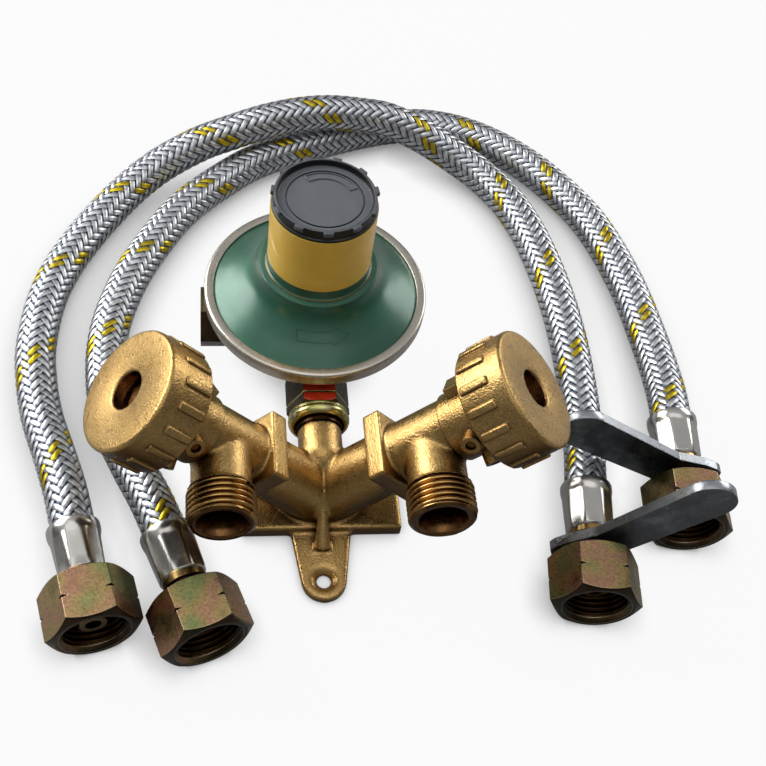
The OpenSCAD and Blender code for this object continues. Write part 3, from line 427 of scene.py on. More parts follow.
def pale_floor():
    """Plain white table; the camera and polished pieces see it a little brighter than it lights,
    and the camera sees a painted contact shadow close to the object.
    """
    f = Finish("pale_floor", Roughness=0.9, Specular_IOR_Level=0.1,
               Base_Color=(0.38, 0.38, 0.385, 1))
    path = f.node("ShaderNodeLightPath").outputs
    # the camera's white fades close to the object and in its holes: a painted contact shadow
    contact_shadowed_white = f.span(f.hollow(0.012), 0.2, 0.94, 0.2, 0.9)
    mirrored = f.number("MAXIMUM", path["Is Glossy Ray"], path["Is Transmission Ray"])
    seen = f.number("MAXIMUM", f.number("MULTIPLY", path["Is Camera Ray"], contact_shadowed_white),
                    f.number("MULTIPLY", mirrored, 0.05))
    glow = f.node("ShaderNodeEmission", Strength=1.0)
    f.output(seen, f.shader.outputs[0], glow.outputs[0], f.tree.nodes["Material Output"])
    return f.mat


# finishes: what makes each, its tint, the setting that holds it or the stops of its film, and
# what else that maker takes
RECIPES = {
    "cast_brass": (cast_brass, "brass"),
    "turned_brass": (turned_brass, "turned"),
    # for turned brass: tint, colour of its painted shade in grooves, and its reach
    "dull_brass": (turned_brass, (0.24, 0.125, 0.036), (0.03, 0.012, 0.004)),
    "neck_brass": (turned_brass, (0.58, 0.38, 0.14), (0.02, 0.009, 0.003), 0.02),
    "recess_brass": (turned_brass, (0.46, 0.27, 0.13), (0.30, 0.16, 0.07)),
    # bores and openings: turned brass darkened as painted shade
    "port_bore": (turned_brass, (0.22, 0.11, 0.04), (0.10, 0.045, 0.015)),
    "dark_bore": (turned_brass, (0.050, 0.024, 0.010), (0.006, 0.003, 0.001)),
    "bright_steel": (polished, (0.62, 0.63, 0.64), 0.18, 0.32),
    "spring_steel": (polished, (0.42, 0.43, 0.45), 0.2, 0.35),
    "passivated_steel": (passivated_steel, (
        (0.32, (0.20, 0.15, 0.06)), (0.42, (0.50, 0.38, 0.15)), (0.49, (0.56, 0.30, 0.19)),
        (0.55, (0.50, 0.36, 0.15)), (0.61, (0.31, 0.36, 0.14)), (0.70, (0.24, 0.18, 0.08)))),
    "yellow_zinc": (yellow_zinc, (
        (0.3, (0.30, 0.30, 0.09)), (0.45, (0.52, 0.48, 0.18)),
        (0.6, (0.62, 0.54, 0.27)), (0.75, (0.38, 0.44, 0.17)))),
    "nickel": (polished, (0.62, 0.60, 0.56), 0.2, 0.27, 0.95),
    "aluminium": (polished, (0.6, 0.61, 0.62), 0.3, 0.45),
    "crimp_steel": (polished, (0.66, 0.61, 0.52), 0.26, 0.36, 0.9),
    "stamped_steel": (stamped_steel, (
        (0.28, (0.045, 0.05, 0.054)), (0.5, (0.10, 0.11, 0.117)), (0.72, (0.26, 0.28, 0.295)))),
    # key_edge and nut_edge: worn edges, painted lighter as their highlights
    "key_edge": (polished, (0.88, 0.90, 0.92), 0.3, 0.45, 0.75),
    "nut_edge": (polished, (0.50, 0.42, 0.27), 0.2, 0.35, 0.6),
    "black_case": (black_case, ((0.3, (0.030, 0.022, 0.012)), (0.7, (0.095, 0.065, 0.03)))),
    "green_metallic_paint": (metallic_paint, "green"),
    "yellow_label": (moulded, "label", 0.3, 0.4, 0.3, 0.04),
    "red_sleeve": (moulded, (0.72, 0.05, 0.014), 0.25, 0.4, 0.4),
    "black_cap": (moulded, (0.005, 0.005, 0.006), 0.3, 0.45),
    # the cap's face finish: grey as a painted sheen on the black cap; the lug finish: grey as a
    # painted highlight
    "cap_face": (moulded, (0.13, 0.14, 0.155), 0.34, 0.46, 0, 0.08),
    "cap_lug": (moulded, (0.10, 0.105, 0.115), 0.3, 0.44, 0, 0.08),
    "rubber": (rubber, (0.02, 0.021, 0.024)),
    "hose_core": (rubber, (0.028, 0.034, 0.045)),
    "green_gasket": (rubber, (0.03, 0.09, 0.05)),
    "membrane_rubber": (rubber, (0.03, 0.028, 0.026)),
    "braid_wire": (braid_wire, "braid"),
    "tracer_wire": (braid_wire, "tracer"),
}
FINISHES = {}

# the finish of every CAD node
CAD_FINISHES = {
    "cast_brass": ("manifold", "bonnet_l", "bonnet_r", "handwheel_l", "handwheel_r"),
    "turned_brass": ("gland_nut_l", "gland_nut_r", "plug_l", "plug_r", "inlet_nipple", "jet",
                     "adjuster"),
    "neck_brass": ("nipple_1", "nipple_2", "nipple_3", "nipple_4"),
    "bright_steel": ("lever", "lever_pin"),
    "dull_brass": ("boss_pins",),
    "recess_brass": ("wheel_nut_l", "wheel_nut_r", "spindle_l", "spindle_r"),
    # the stem ring is almost black: painted shade between nut and stem
    "dark_bore": ("stem_ring",),
    "spring_steel": ("main_spring",),
    "rubber": ("packing_l", "packing_r", "seat_pad_l", "seat_pad_r", "jet_pad"),
    "membrane_rubber": ("membrane",),
    "aluminium": ("membrane_plate",),
    "green_gasket": ("union_gasket",),
    "yellow_zinc": ("union_nut",),
    "red_sleeve": ("red_sleeve",),
    "black_case": ("reg_lower",),
    "green_metallic_paint": ("reg_cover",),
    "crimp_steel": ("crimp_ring",),
    "yellow_label": ("label_band",),
    "black_cap": ("cap",),
    "nickel": ("ferrule_1", "ferrule_2", "ferrule_3", "ferrule_4"),
    "passivated_steel": ("hose_nut_1", "hose_nut_2", "hose_nut_3", "hose_nut_4"),
    "stamped_steel": ("key_3", "key_4"),
    "hose_core": ("hose_a", "hose_b"),
}
# worn edges of CAD nodes, painted lighter as highlights: names, numbers, finish, width in metres
EDGES = (("key_%d", (3, 4), "key_edge", 0.0005), ("hose_nut_%d", (1, 2, 3, 4), "nut_edge", 0.0003))


def finish(name):
    """The finish of that name, made once."""
    if name not in FINISHES:
        maker, tint, *values = RECIPES[name]
        if isinstance(tint, str):
            tint = tuple(getattr(bpy.context.scene.regulator_looks, tint))
        FINISHES[name] = maker(name, tint, *values)
    return FINISHES[name]


def finish_cad_nodes():
    """Gives every CAD node its finish, and the keys and hose nuts their worn edges, painted lighter
    as highlights.
    """
    for fin, nodes in CAD_FINISHES.items():
        for node in nodes:
            for slot in NODES[node].material_slots:
                slot.material = finish(fin)
    for pattern, numbers, edge, width in EDGES:
        for n in numbers:
            ob = NODES[pattern % n]
            ob.data.materials.append(finish(edge))
            ob.modifiers.new("weld", "WELD").merge_threshold = 2e-6
            rim = ob.modifiers.new("rim", "BEVEL")
            rim.limit_method, rim.angle_limit = "ANGLE", radians(40)
            rim.width, rim.segments, rim.material = width, 2, 1
    left = set(NODES) - {n for nodes in CAD_FINISHES.values() for n in nodes}
    if left:
        raise RuntimeError("no finish for %s" % sorted(left))


# -------------------------------- modelling helpers

def mesh_object(name, bm):
    """A linked object made from a bmesh, which is freed."""
    me = bpy.data.meshes.new(name)
    bm.to_mesh(me)
    bm.free()
    ob = bpy.data.objects.new(name, me)
    bpy.context.scene.collection.objects.link(ob)
    return ob


def piece(name, bm, body, finishes, place, stands_for=(), angle=35):
    """Turns a bmesh into a finished piece that rides on a body."""
    bmesh.ops.transform(bm, matrix=place, verts=bm.verts)
    ob = mesh_object(name, bm)
    ob.data.shade_smooth()
    ob.data.set_sharp_from_angle(angle=radians(angle))
    for fin in finishes:
        ob.data.materials.append(finish(fin))
    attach(ob, body)
    if stands_for:
        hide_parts(*stands_for)
    return ob


def absorb(bm, part):
    """Adds a bmesh to another and frees it."""
    me = bpy.data.meshes.new("part")
    part.to_mesh(me)
    part.free()
    bm.from_mesh(me)
    bpy.data.meshes.remove(me)


def lathe(outline, steps=96, turn=2 * pi):
    """A bmesh of a closed outline of (radius, height) points spun about Z."""
    bm = bmesh.new()
    verts = [bm.verts.new((r, 0, z)) for r, z in outline]
    edges = [bm.edges.new((a, b)) for a, b in zip(verts, verts[1:] + verts[:1])]
    bmesh.ops.spin(bm, geom=verts + edges, cent=(0, 0, 0), axis=(0, 0, 1), dvec=(0, 0, 0),
                   angle=turn, steps=steps, use_merge=turn == 2 * pi)
    bmesh.ops.remove_doubles(bm, verts=bm.verts, dist=1e-4)
    bmesh.ops.recalc_face_normals(bm, faces=bm.faces)
    return bm


def helix_thread(bm, radius, depth, low, high, steps=48, inside=False):
    """Winds a V thread ridge round Z between two heights; its root sits below the wall."""
    pitch = THREAD_PITCH
    turns = (high - low) / pitch - 0.55
    way = -1 if inside else 1
    root, shoulder = radius - way * depth, radius - way * depth * 0.12
    outline = ((root, -pitch * 0.44), (shoulder, -pitch * 0.2), (radius, -pitch * 0.06),
               (radius, pitch * 0.06), (shoulder, pitch * 0.2), (root, pitch * 0.44),
               (radius - way * (depth + 0.25), 0))
    face = bm.faces.new([bm.verts.new((r, 0, low + pitch * 0.5 + z)) for r, z in outline])
    count = int(steps * turns)
    bmesh.ops.spin(bm, geom=[face], cent=(0, 0, 0), axis=(0, 0, 1),
                   dvec=(0, 0, turns * pitch / count), angle=2 * pi * turns, steps=count,
                   use_merge=False)
    bmesh.ops.remove_doubles(bm, verts=bm.verts, dist=1e-5)
    bmesh.ops.recalc_face_normals(bm, faces=bm.faces)


def add_block(bm, size, at, angle, round_off=0.3, segments=2):
    """Adds a block with rounded edges, placed at a radius and turned about Z."""
    part = bmesh.new()
    bmesh.ops.create_cube(part, size=1.0)
    bmesh.ops.scale(part, vec=size, verts=part.verts)
    bmesh.ops.bevel(part, geom=part.edges[:], offset=round_off, offset_type="OFFSET",
                    segments=segments, profile=0.5, affect="EDGES", clamp_overlap=True,
                    material=-1)
    bmesh.ops.translate(part, vec=at, verts=part.verts)
    bmesh.ops.rotate(part, cent=(0, 0, 0), matrix=Matrix.Rotation(angle, 3, "Z"),
                     verts=part.verts)
    absorb(bm, part)


def set_radius(v, radius):
    """Moves a vertex to that distance from Z."""
    r = v.co.xy.length
    v.co.x, v.co.y = v.co.x / r * radius, v.co.y / r * radius


def curve_point(a, b, c, d, t):
    """A point at t between b and c, on the smooth curve through a, b, c and d."""
    return 0.5 * ((2 * b) + (c - a) * t + (2 * a - 5 * b + 4 * c - d) * t * t
                  + (3 * b - a - 3 * c + d) * t ** 3)


def smooth_line(points, per):
    """Points along the smooth curve through a route, without its first and last point."""
    out = [curve_point(*points[k - 1:k + 3], j / per)
           for k in range(1, len(points) - 2) for j in range(per)]
    return out + [points[-2]]


# -------------------------------- braided hoses

def hose_line(i, j, mid):
    """Fine points along a hose's route, and their distances along it."""
    points = ([end_point(i, end_length(i) - 8), end_point(i, end_length(i))]
              + [Vector(p) for p in mid]
              + [end_point(j, end_length(j)), end_point(j, end_length(j) - 8)])
    p = np.array([tuple(v) for v in smooth_line(points, 24)])
    return p, np.concatenate([[0], np.cumsum(np.linalg.norm(np.diff(p, axis=0), axis=1))])


def hose_frames(p, run, samples):
    """Centres, side and up directions at even steps along a hose, with no twist."""
    at = np.linspace(0, run[-1], samples)
    c = np.stack([np.interp(at, run, p[:, k]) for k in range(3)], 1)
    t = np.gradient(c, axis=0)
    t /= np.linalg.norm(t, axis=1)[:, None]
    side = np.zeros_like(c)
    s = np.cross(t[0], (0, 0, 1.0))
    for k in range(len(c)):
        s = s - t[k] * np.dot(s, t[k])
        s /= np.linalg.norm(s)
        side[k] = s
    return c, side, np.cross(side, t)


def make_core(bm, c, side, up):
    """The dark tube that shows between the bands."""
    angles = np.arange(CORE_SIDES) * 2 * pi / CORE_SIDES
    rings = [[bm.verts.new(c[k] + (HOSE_R - CORE_DEPTH) * (cos(a) * side[k] + sin(a) * up[k]))
              for a in angles] for k in range(0, len(c), 4)]
    for a, b in zip(rings, rings[1:]):
        for n in range(CORE_SIDES):
            m = (n + 1) % CORE_SIDES
            bm.faces.new((a[n], b[n], b[m], a[m]))
    bm.faces.new(rings[0])
    bm.faces.new(rings[-1][::-1])


def wind_band(bm, frames, angle, radius, section, way, lean, length):
    """Rings of one band along a hose of that length; each lies across the band's own lean."""
    steps = len(angle) - 1
    rings = []
    for k in range(steps + 1):
        ring = []
        for across, low in section:
            a = angle[k] + way * across * cos(lean) / HOSE_R
            q = min(max(k - across * sin(lean) / length * steps, 0), steps)
            k0 = min(int(q), steps - 1)
            f = q - k0
            centre, side, up = (d[k0] * (1 - f) + d[k0 + 1] * f for d in frames)
            ring.append(bm.verts.new(centre + (radius[k] + low) * (cos(a) * side + sin(a) * up)))
        rings.append(ring)
    return rings


def skin_band(bm, band, rings, lift, way, material):
    """Faces between the rings of a band; their UV runs across it, and from under to over."""
    for k, (a, b) in enumerate(zip(rings, rings[1:])):
        for m in range(4):
            order = (a[m], b[m], b[(m + 1) % 4], a[(m + 1) % 4])
            face = bm.faces.new(order if way > 0 else order[::-1])
            face.material_index = material
            for loop in face.loops:
                ahead = loop.vert in b
                v = (b if ahead else a).index(loop.vert)
                loop[band].uv = (v / 3.0, 0.5 + 0.5 * lift[k + ahead])


def braid(name, i, j, mid, node, tight, start):
    """One hose: a dark core and twelve bands of wire each way, two over and two under."""
    looks = bpy.context.scene.regulator_looks
    half, pitch = looks.band_width * 500, looks.braid_pitch * 1000 * tight
    crossings = 2 * BANDS
    p, run = hose_line(i, j, mid)
    length = run[-1]
    steps = int(round(length / pitch * crossings)) * 2
    frames = hose_frames(p, run, steps + 1)
    bm = bmesh.new()
    band = bm.loops.layers.uv.new("band")
    make_core(bm, *frames)
    index = np.arange(steps + 1) / 2.0
    turn = index / crossings
    lean = atan2(2 * pi * HOSE_R, length / (steps / (2.0 * crossings)))
    section = ((-half, -BAND_DEPTH), (-half * 0.45, 0.0), (half * 0.45, 0.0), (half, -BAND_DEPTH))
    for way in (1, -1):
        for n in range(BANDS):
            phase = np.mod(way * index + 2 * n, 4)
            lift = np.clip(1.5 * np.cos(2 * pi * (phase - 0.5) / 4), -1, 1) * way
            radius = HOSE_R - BAND_MIDDLE + BAND_LIFT * lift
            angle = 2 * pi * (n / float(BANDS) + way * turn + start)
            rings = wind_band(bm, frames, angle, radius, section, way, lean, length)
            tracer = way < 0 and n in TRACER_BANDS
            skin_band(bm, band, rings, lift, way, 2 if tracer else 1)
    ob = piece(name, bm, "base", ("hose_core", "braid_wire", "tracer_wire"), MM,
               (node,), 60)
    path = [tuple(v / 1000) for v in frames[0][::6]]
    if steps % 6:
        path.append(tuple(frames[0][-1] / 1000))


# -------------------------------- the other pieces

def make_casting():
    """Manifold: the CAD casting without its turned port ends, its edges eased by a remesh."""
    bm = bmesh.new()
    bm.from_mesh(NODES["manifold"].data)
    bmesh.ops.remove_doubles(bm, verts=bm.verts, dist=2e-6)
    cutter = bmesh.new()
    for side, _ in SIDES:
        drum = bmesh.ops.create_cone(cutter, cap_ends=True, segments=64, radius1=CUT_R,
                                     radius2=CUT_R, depth=CUT_LEN)
        place = port_place(side, PORT_REACH - PORT_LEN + CUT_LEN / 2 + CUT_GAP)
        bmesh.ops.transform(cutter, matrix=place, verts=drum["verts"])
    ob, cut = mesh_object("casting_rough", bm), mesh_object("port_cut", cutter)
    boole = ob.modifiers.new("ports", "BOOLEAN")
    boole.operation, boole.solver, boole.object = "DIFFERENCE", "EXACT", cut
    grid = ob.modifiers.new("grid", "REMESH")
    grid.mode, grid.voxel_size = "VOXEL", CAST_GRID
    ease = ob.modifiers.new("ease", "SMOOTH")
    ease.factor, ease.iterations = 0.5, CAST_EASE
    deps = bpy.context.evaluated_depsgraph_get()
    made = bpy.data.meshes.new_from_object(ob.evaluated_get(deps))
    ob.modifiers.clear()
    ob.data = made
    ob.name = made.name = "casting"
    bpy.data.objects.remove(cut)
    made.materials.clear()
    made.materials.append(finish("cast_brass"))
    made.shade_smooth()
    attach(ob, "base")
    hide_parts("manifold")


def make_ports():
    """Port ends turned on the casting: a threaded sleeve with a coned bore."""
    root, low, high = PORT_R - 1.0, PORT_REACH - PORT_LEN, PORT_REACH
    outline = ((5.8, low - 3), (8.2, low - 3), (8.6, low - 0.4), (root, low + 0.2),
               (root, high - 1.15), (9.55, high - 0.95), (9.55, high - 0.65), (8.8, high),
               (7.9, high), (7.7, high - 0.25), (7.1, high - 0.45), (5.8, high - 2.8))
    for side, name in SIDES:
        bm = lathe(outline)
        # the mouth and the bore: brass darkened as painted shade
        for face in bm.faces:
            c = face.calc_center_median()
            bore = c.z > high - 0.4 or (c.xy.length < 7.85 and c.z > low)
            face.material_index = int(bore)
        helix_thread(bm, PORT_R, 1.0, low + 0.1, high - 0.75)
        piece("port_thread_" + name, bm, "base", ("turned_brass", "port_bore"),
              port_place(side))


def make_handwheels():
    """Cast handwheels with rounded rims, a deep hub hole and raised grip bars."""
    ro, low, top = WHEEL_R - 0.8, WHEEL_LOW, WHEEL_TOP
    outline = ((2.9, 73.0), (2.9, 66.4), (7.4, 66.4), (7.4, 75.4), (8.6, 76.6), (ro - 3.4, 76.6),
               (ro - 2.2, 75.4), (ro - 2.2, low), (ro - 0.4, low), (ro, low + 0.4),
               (ro, top - 1.1), (ro - 0.1, top - 0.65), (ro - 0.35, top - 0.28),
               (ro - 0.75, top - 0.06), (ro - 1.3, top), (6.4, top), (5.95, top - 0.12),
               (5.68, top - 0.4), (5.6, top - 0.9), (5.6, 73.0))
    for side, name in SIDES:
        bm = lathe(outline, 128)
        for face in bm.faces:
            c = face.calc_center_median()
            face.material_index = int(c.xy.length < 5.65 and c.z < top - 0.6)
        for k in range(GRIP_BARS):
            add_block(bm, (2.2, 2.5, 9.0), (ro - 0.3, 0, low + 5.4),
                      (k + 0.5) * 2 * pi / GRIP_BARS, 0.55, 3)
        piece("handwheel_cast_" + name, bm, "wheel_" + name, ("cast_brass", "recess_brass"),
              valve_place(side), ("handwheel_" + name,))


def make_cover():
    """Pressed cover with a smooth flare and a flow arrow, rolled crimp ring and neck line."""
    rim_top = COVER_Z + COVER_T
    route = [Vector((r, z, 0)) for r, z in ((32.7, rim_top), (29.8, 36.9), (26, 39.2),
                                            (22, 42.2), (19.8, 45.0), (18.8, 47.4))]
    route = [route[0] * 2 - route[1]] + route + [route[-1] * 2 - route[-2]]
    flare = [(p.x, p.y) for p in smooth_line(route, 6)]
    rim = [(35.2, COVER_Z), (35.2, rim_top), (32.7, rim_top)]
    neck = [(18.75, 47.7), (18.5, 47.95), (18.0, 48.1), (16.9, 48.3), (16.3, 48.8), (16.0, 49.6),
            (16.0, NECK_END)]
    inner = [(14.7, NECK_END), (14.7, 48.6), (17.4, 46.2), (20.8, 41.4), (25.1, 38.2),
             (29, 35.8), (31.2, COVER_Z)]
    piece("cover_pressed", lathe(rim + flare[1:] + neck + inner, 144), "base",
          ("green_metallic_paint",), regulator_place(), ("reg_cover",), 28)
    lo, hi, t = JOINT_Z - 1.4, rim_top, 0.7
    crimp = ((34.05, lo - 1.6), (34.6, lo - 1.75), (35.2, lo - 1.3), (35.7, lo - 0.55),
             (35.86, lo), (35.9, hi - 0.3), (35.82, hi + 0.25), (35.5, hi + 0.6), (35.0, hi + t),
             (33.6, hi + t + 0.04), (32.95, hi + t - 0.12), (32.8, hi + 0.3), (32.85, hi),
             (35.2, hi), (35.2, lo), (34.05, lo - 1.0))
    piece("crimp_rolled", lathe(crimp, 144), "base", ("crimp_steel",),
          regulator_place(), ("crimp_ring",), 40)
    line = ((16.02, NECK_BASE + 0.9), (16.5, NECK_BASE + 0.55), (16.85, NECK_BASE + 0.45),
            (16.9, NECK_BASE + 0.25), (16.0, NECK_BASE + 0.5))
    piece("neck_line", lathe(line, 120), "base", ("dull_brass",),
          regulator_place())
    make_arrow(flare)


def make_arrow(flare):
    """Raised outline of a flow arrow that lies on the cover's flare."""
    points = [(x0 + (x1 - x0) * k / 8, t0 + (t1 - t0) * k / 8)
              for (x0, t0), (x1, t1) in zip(ARROW, ARROW[1:] + ARROW[:1]) for k in range(8)]
    profile = ((-1, -0.15), (-0.5, 0.16), (0.5, 0.16), (1, -0.15))
    bm = bmesh.new()
    rows = []
    for k, (x, t) in enumerate(points):
        along = Vector(points[(k + 1) % len(points)]) - Vector(points[k - 1])
        across = Vector((-along.y, along.x)).normalized() * 0.3
        rows.append([bm.verts.new(on_flare(flare, x + across.x * m, t + across.y * m, h))
                     for m, h in profile])
    for a, b in zip(rows, rows[1:] + rows[:1]):
        for m in range(4):
            bm.faces.new((a[m], b[m], b[(m + 1) % 4], a[(m + 1) % 4]))
    bmesh.ops.recalc_face_normals(bm, faces=bm.faces)
    piece("flow_arrow", bm, "base", ("green_metallic_paint",), regulator_place())


def on_flare(flare, x, t, lift):
    """A point on the flare: x round it from the arrow's middle, t up its slope."""
    radii, heights = zip(*sorted(flare))
    r = ARROW_R - t * 0.8
    z, above, below = (np.interp(q, radii, heights) for q in (r, r + 0.2, r - 0.2))
    out = Vector((-(above - below) / 0.4, 1)).normalized() * lift
    a = ARROW_AT + x / r
    return Vector(((r + out.x) * cos(a), (r + out.x) * sin(a), z + out.y))


def flats(bm, low, high):
    """Cuts six flats on what lies between two heights; one of them is on top."""
    inner = UNION_CORNER * cos(pi / 6)
    for v in bm.verts:
        r = v.co.xy.length
        if low < v.co.z < high and r > inner:
            a = atan2(v.co.y, v.co.x) % (pi / 3) - pi / 6
            set_radius(v, min(r, inner / cos(a)))
    bm.normal_update()


def union_piece(name, outline, steps, low, high, body, node):
    """A piece of the union: plated collar and edge, painted shade in its opening, and red on the
    top flat with the other flats painted dark as shade.
    """
    bm = lathe(outline, steps)
    flats(bm, low, high)
    for face in bm.faces:
        c = face.calc_center_median()
        # the opening: painted shade; the top flat red, the other flats dark as painted shade
        if c.z < UNION_MID + 0.05:
            face.material_index = int(c.z < UNION_LOW + 1.2 and c.xy.length < 8.0)
        elif abs(c.z - UNION_TOP) < 0.42 and c.xy.length > 8:
            face.material_index = 0
        else:
            face.material_index = 2 if face.normal.y < -0.9 else 3
    piece(name, bm, body, ("yellow_zinc", "dark_bore", "red_sleeve", "black_case"),
          stem_place(), (node,), 30)


def make_union():
    """Union nut with a round collar, and the hexagon behind it; they meet at a gold line."""
    lo, mid, hi, end, corner = UNION_LOW, UNION_MID, UNION_TOP, SLEEVE_END, UNION_CORNER
    nut = ((6.5, lo + 0.9), (7.9, lo + 0.9), (7.9, lo), (8.2, lo), (8.9, lo + 0.3),
           (9.4, lo + 0.9), (9.65, lo + 1.6), (9.7, lo + 2.4), (9.55, lo + 2.9), (9.3, lo + 3.05),
           (9.3, lo + 3.2), (9.5, lo + 3.35), (9.5, mid - 0.45), (9.2, mid - 0.15), (8.6, mid),
           (9.3, mid + 0.1), (corner, mid + 0.5), (corner, hi - 0.4), (9.6, hi), (5.0, hi),
           (5.0, hi - 0.3), (6.5, hi - 0.3))
    sleeve = ((4.75, hi + 0.1), (9.6, hi + 0.1), (corner, hi + 0.4), (corner, end - 0.2),
              (9.8, end), (4.75, end))
    union_piece("union_nut_turned", nut, 120, mid + 0.05, hi + 0.05, "union_nut",
                "union_nut")
    union_piece("sleeve_moulded", sleeve, 96, hi, end + 0.1, "base", "red_sleeve")


def make_cap():
    """Cap: ribbed rim over a grey face with a ring groove and a sector mark; the grey of the face
    is a painted sheen, and that of the rim's top and the lugs a painted highlight.
    """
    rib, top, floor_z = NECK_END, CAP_TOP, CAP_FLOOR
    bm = lathe(((14.62, 67.1), (14.62, rib + 0.1), (15.85, rib + 0.1), (16.05, rib + 0.3),
                (16.05, rib + 0.7), (15.55, rib + 0.95), (15.5, top - 0.45), (15.4, top - 0.12),
                (15.1, top), (14.75, top), (14.55, top - 0.15), (14.2, floor_z + 0.2),
                (13.95, floor_z), (11.95, floor_z), (11.88, floor_z - 0.45),
                (11.5, floor_z - 0.45), (11.43, floor_z), (0, floor_z), (0, 72.3), (12.7, 72.3),
                (12.7, 67.1)), 132)
    # upward faces grey as a painted sheen, the rim's top grey as a painted highlight
    for face in bm.faces:
        c = face.calc_center_median()
        if face.normal.z > 0.8 and c.z > floor_z - 0.5:
            face.material_index = 2 if c.z > top - 0.2 else 1
    piece("cap_turned", bm, "cap", ("black_cap", "cap_face", "cap_lug"),
          regulator_place(), ("cap",), 30)
    bm = bmesh.new()
    for k in range(CAP_LUGS):
        add_block(bm, (1.45, 2.9, 1.5), (15.6, 0, top - 0.75), radians(360 * k / CAP_LUGS + 8),
                  0.22)
    piece("cap_lugs", bm, "cap", ("cap_lug",), regulator_place())
    bm = bmesh.new()
    for r in (8.2, 10.7):
        arc = lathe(((r, floor_z - 0.1), (r + 0.4, floor_z - 0.1), (r + 0.34, floor_z + 0.35),
                     (r + 0.06, floor_z + 0.35)), 24, radians(98))
        bmesh.ops.rotate(arc, cent=(0, 0, 0), matrix=Matrix.Rotation(radians(24), 3, "Z"),
                         verts=arc.verts)
        absorb(bm, arc)
    for a in (24.5, 121.5):
        add_block(bm, (2.8, 0.4, 0.45), (9.6, 0, floor_z + 0.12), radians(a), 0.08)
    piece("cap_arc", bm, "cap", ("cap_face",), regulator_place())


def crimp(bm, start):
    """Presses eight flats into a ferrule, which fade out towards its ends."""
    for v in bm.verts:
        z, r = v.co.z - start, v.co.xy.length
        if 0.5 < z < 14.0 and r > 6.4:
            a = (atan2(v.co.y, v.co.x) + pi / 8) % (pi / 4) - pi / 8
            flat = min((6.75 + 0.05 * z) / cos(a), 7.3 + 0.03 * z)
            share = max(0.0, min(1.0, (z - 0.5) / 0.8, (13.6 - z) / 1.8))
            share = share * share * (3 - 2 * share)
            set_radius(v, r * (1 - share) + flat * share)


def make_hose_ends():
    """Ferrules crimped from round tube, and the thread inside each nut."""
    tube = ((4.02, 0.0), (6.0, 0.0), (6.5, 0.12), (7.0, 0.7), (7.25, 1.4), (7.35, 4.0), (7.5, 8.0),
            (7.65, 11.6), (7.6, 12.4), (7.7, 12.9), (7.85, 13.5), (7.95, 14.1), (8.0, 14.6),
            (8.0, 16.1), (7.88, 16.4), (7.5, 16.5), (6.8, 16.5), (4.02, 16.5))
    for i in range(4):
        n, start = str(i + 1), NUT_LEN + ENDS[i][3]
        bm = lathe([(r, start + z) for r, z in tube])
        crimp(bm, start)
        piece("ferrule_crimped_" + n, bm, "base", ("nickel",), end_place(i),
              ("ferrule_" + n,), 24)
        bm = bmesh.new()
        # the thread inside the nut is almost black: painted shade
        helix_thread(bm, 8.45, 0.55, 1.4, 11.6, 40, inside=True)
        piece("nut_thread_" + n, bm, "nut_" + n, ("dark_bore",), end_place(i))


# -------------------------------- stage

def make_camera(scene):
    """The photograph's camera."""
    yaw, pitch, roll = radians(VIEW_YAW), radians(VIEW_PITCH), radians(VIEW_ROLL)
    ahead = Vector((sin(yaw) * cos(pitch), cos(yaw) * cos(pitch), -sin(pitch)))
    flat = Vector((cos(yaw), -sin(yaw), 0))
    over = flat.cross(ahead)
    right = cos(roll) * flat + sin(roll) * over
    up = -sin(roll) * flat + cos(roll) * over
    data = bpy.data.cameras.new("camera")
    cam = bpy.data.objects.new("camera", data)
    scene.collection.objects.link(cam)
    turn = Matrix((right, up, -ahead)).transposed().to_4x4()
    cam.matrix_world = Matrix.Translation(Vector(VIEW_AT) / 1000) @ turn
    data.sensor_fit, data.sensor_width = "HORIZONTAL", SENSOR
    data.lens = FOCAL / IMAGE * SENSOR
    data.shift_x = (IMAGE / 2 - CENTRE_X) / IMAGE
    data.shift_y = -(IMAGE / 2 - CENTRE_Y) / IMAGE
    data.clip_start, data.clip_end = 0.01, 20
    scene.camera = cam


def make_floor():
    """A large pale floor just below the set."""
    bm = bmesh.new()
    bmesh.ops.create_grid(bm, x_segments=2, y_segments=2, size=FLOOR_HALF)
    bmesh.ops.translate(bm, vec=(0, 0, FLOOR_Z), verts=bm.verts)
    floor = mesh_object("floor", bm)
    floor.data.materials.append(pale_floor())


def make_lamps(scene):
    """Soft lamps, each a share of the key light."""
    for name, spot, aim, size, share in LAMPS:
        light = bpy.data.lights.new(name, "AREA")
        light.shape, light.size, light.size_y = "RECTANGLE", size, size * 0.8
        light.energy = scene.regulator_looks.key_light * share
        lamp = bpy.data.objects.new(name, light)
        scene.collection.objects.link(lamp)
        lamp.location = spot
        turn = (Vector(aim) - Vector(spot)).to_track_quat("-Z", "Y")
        lamp.rotation_euler = turn.to_euler()


def make_world(scene):
    """A grey sky for the object, and white for the camera."""
    scene.world = bpy.data.worlds.new("studio")
    scene.world.use_nodes = True
    g = Graph(scene.world.node_tree, "Generated")
    sky = g.tree.nodes["Background"]
    sky.inputs["Strength"].default_value = SKY_STRENGTH
    g.wire(g.ramp(g.part(g.coord, "Z"), SKY), sky.inputs["Color"])
    white = g.node("ShaderNodeBackground", Color=(1, 1, 1, 1))
    camera = g.node("ShaderNodeLightPath").outputs["Is Camera Ray"]
    g.output(g.number("MULTIPLY", camera, SKY_SHOWN), sky.outputs[0], white.outputs[0],
             g.tree.nodes["World Output"])


# -------------------------------- settings, operators and panel

def colour_setting(name, description, default):
    return bpy.props.FloatVectorProperty(name=name, description=description, subtype="COLOR",
                                         size=3, min=0, max=1, default=default)


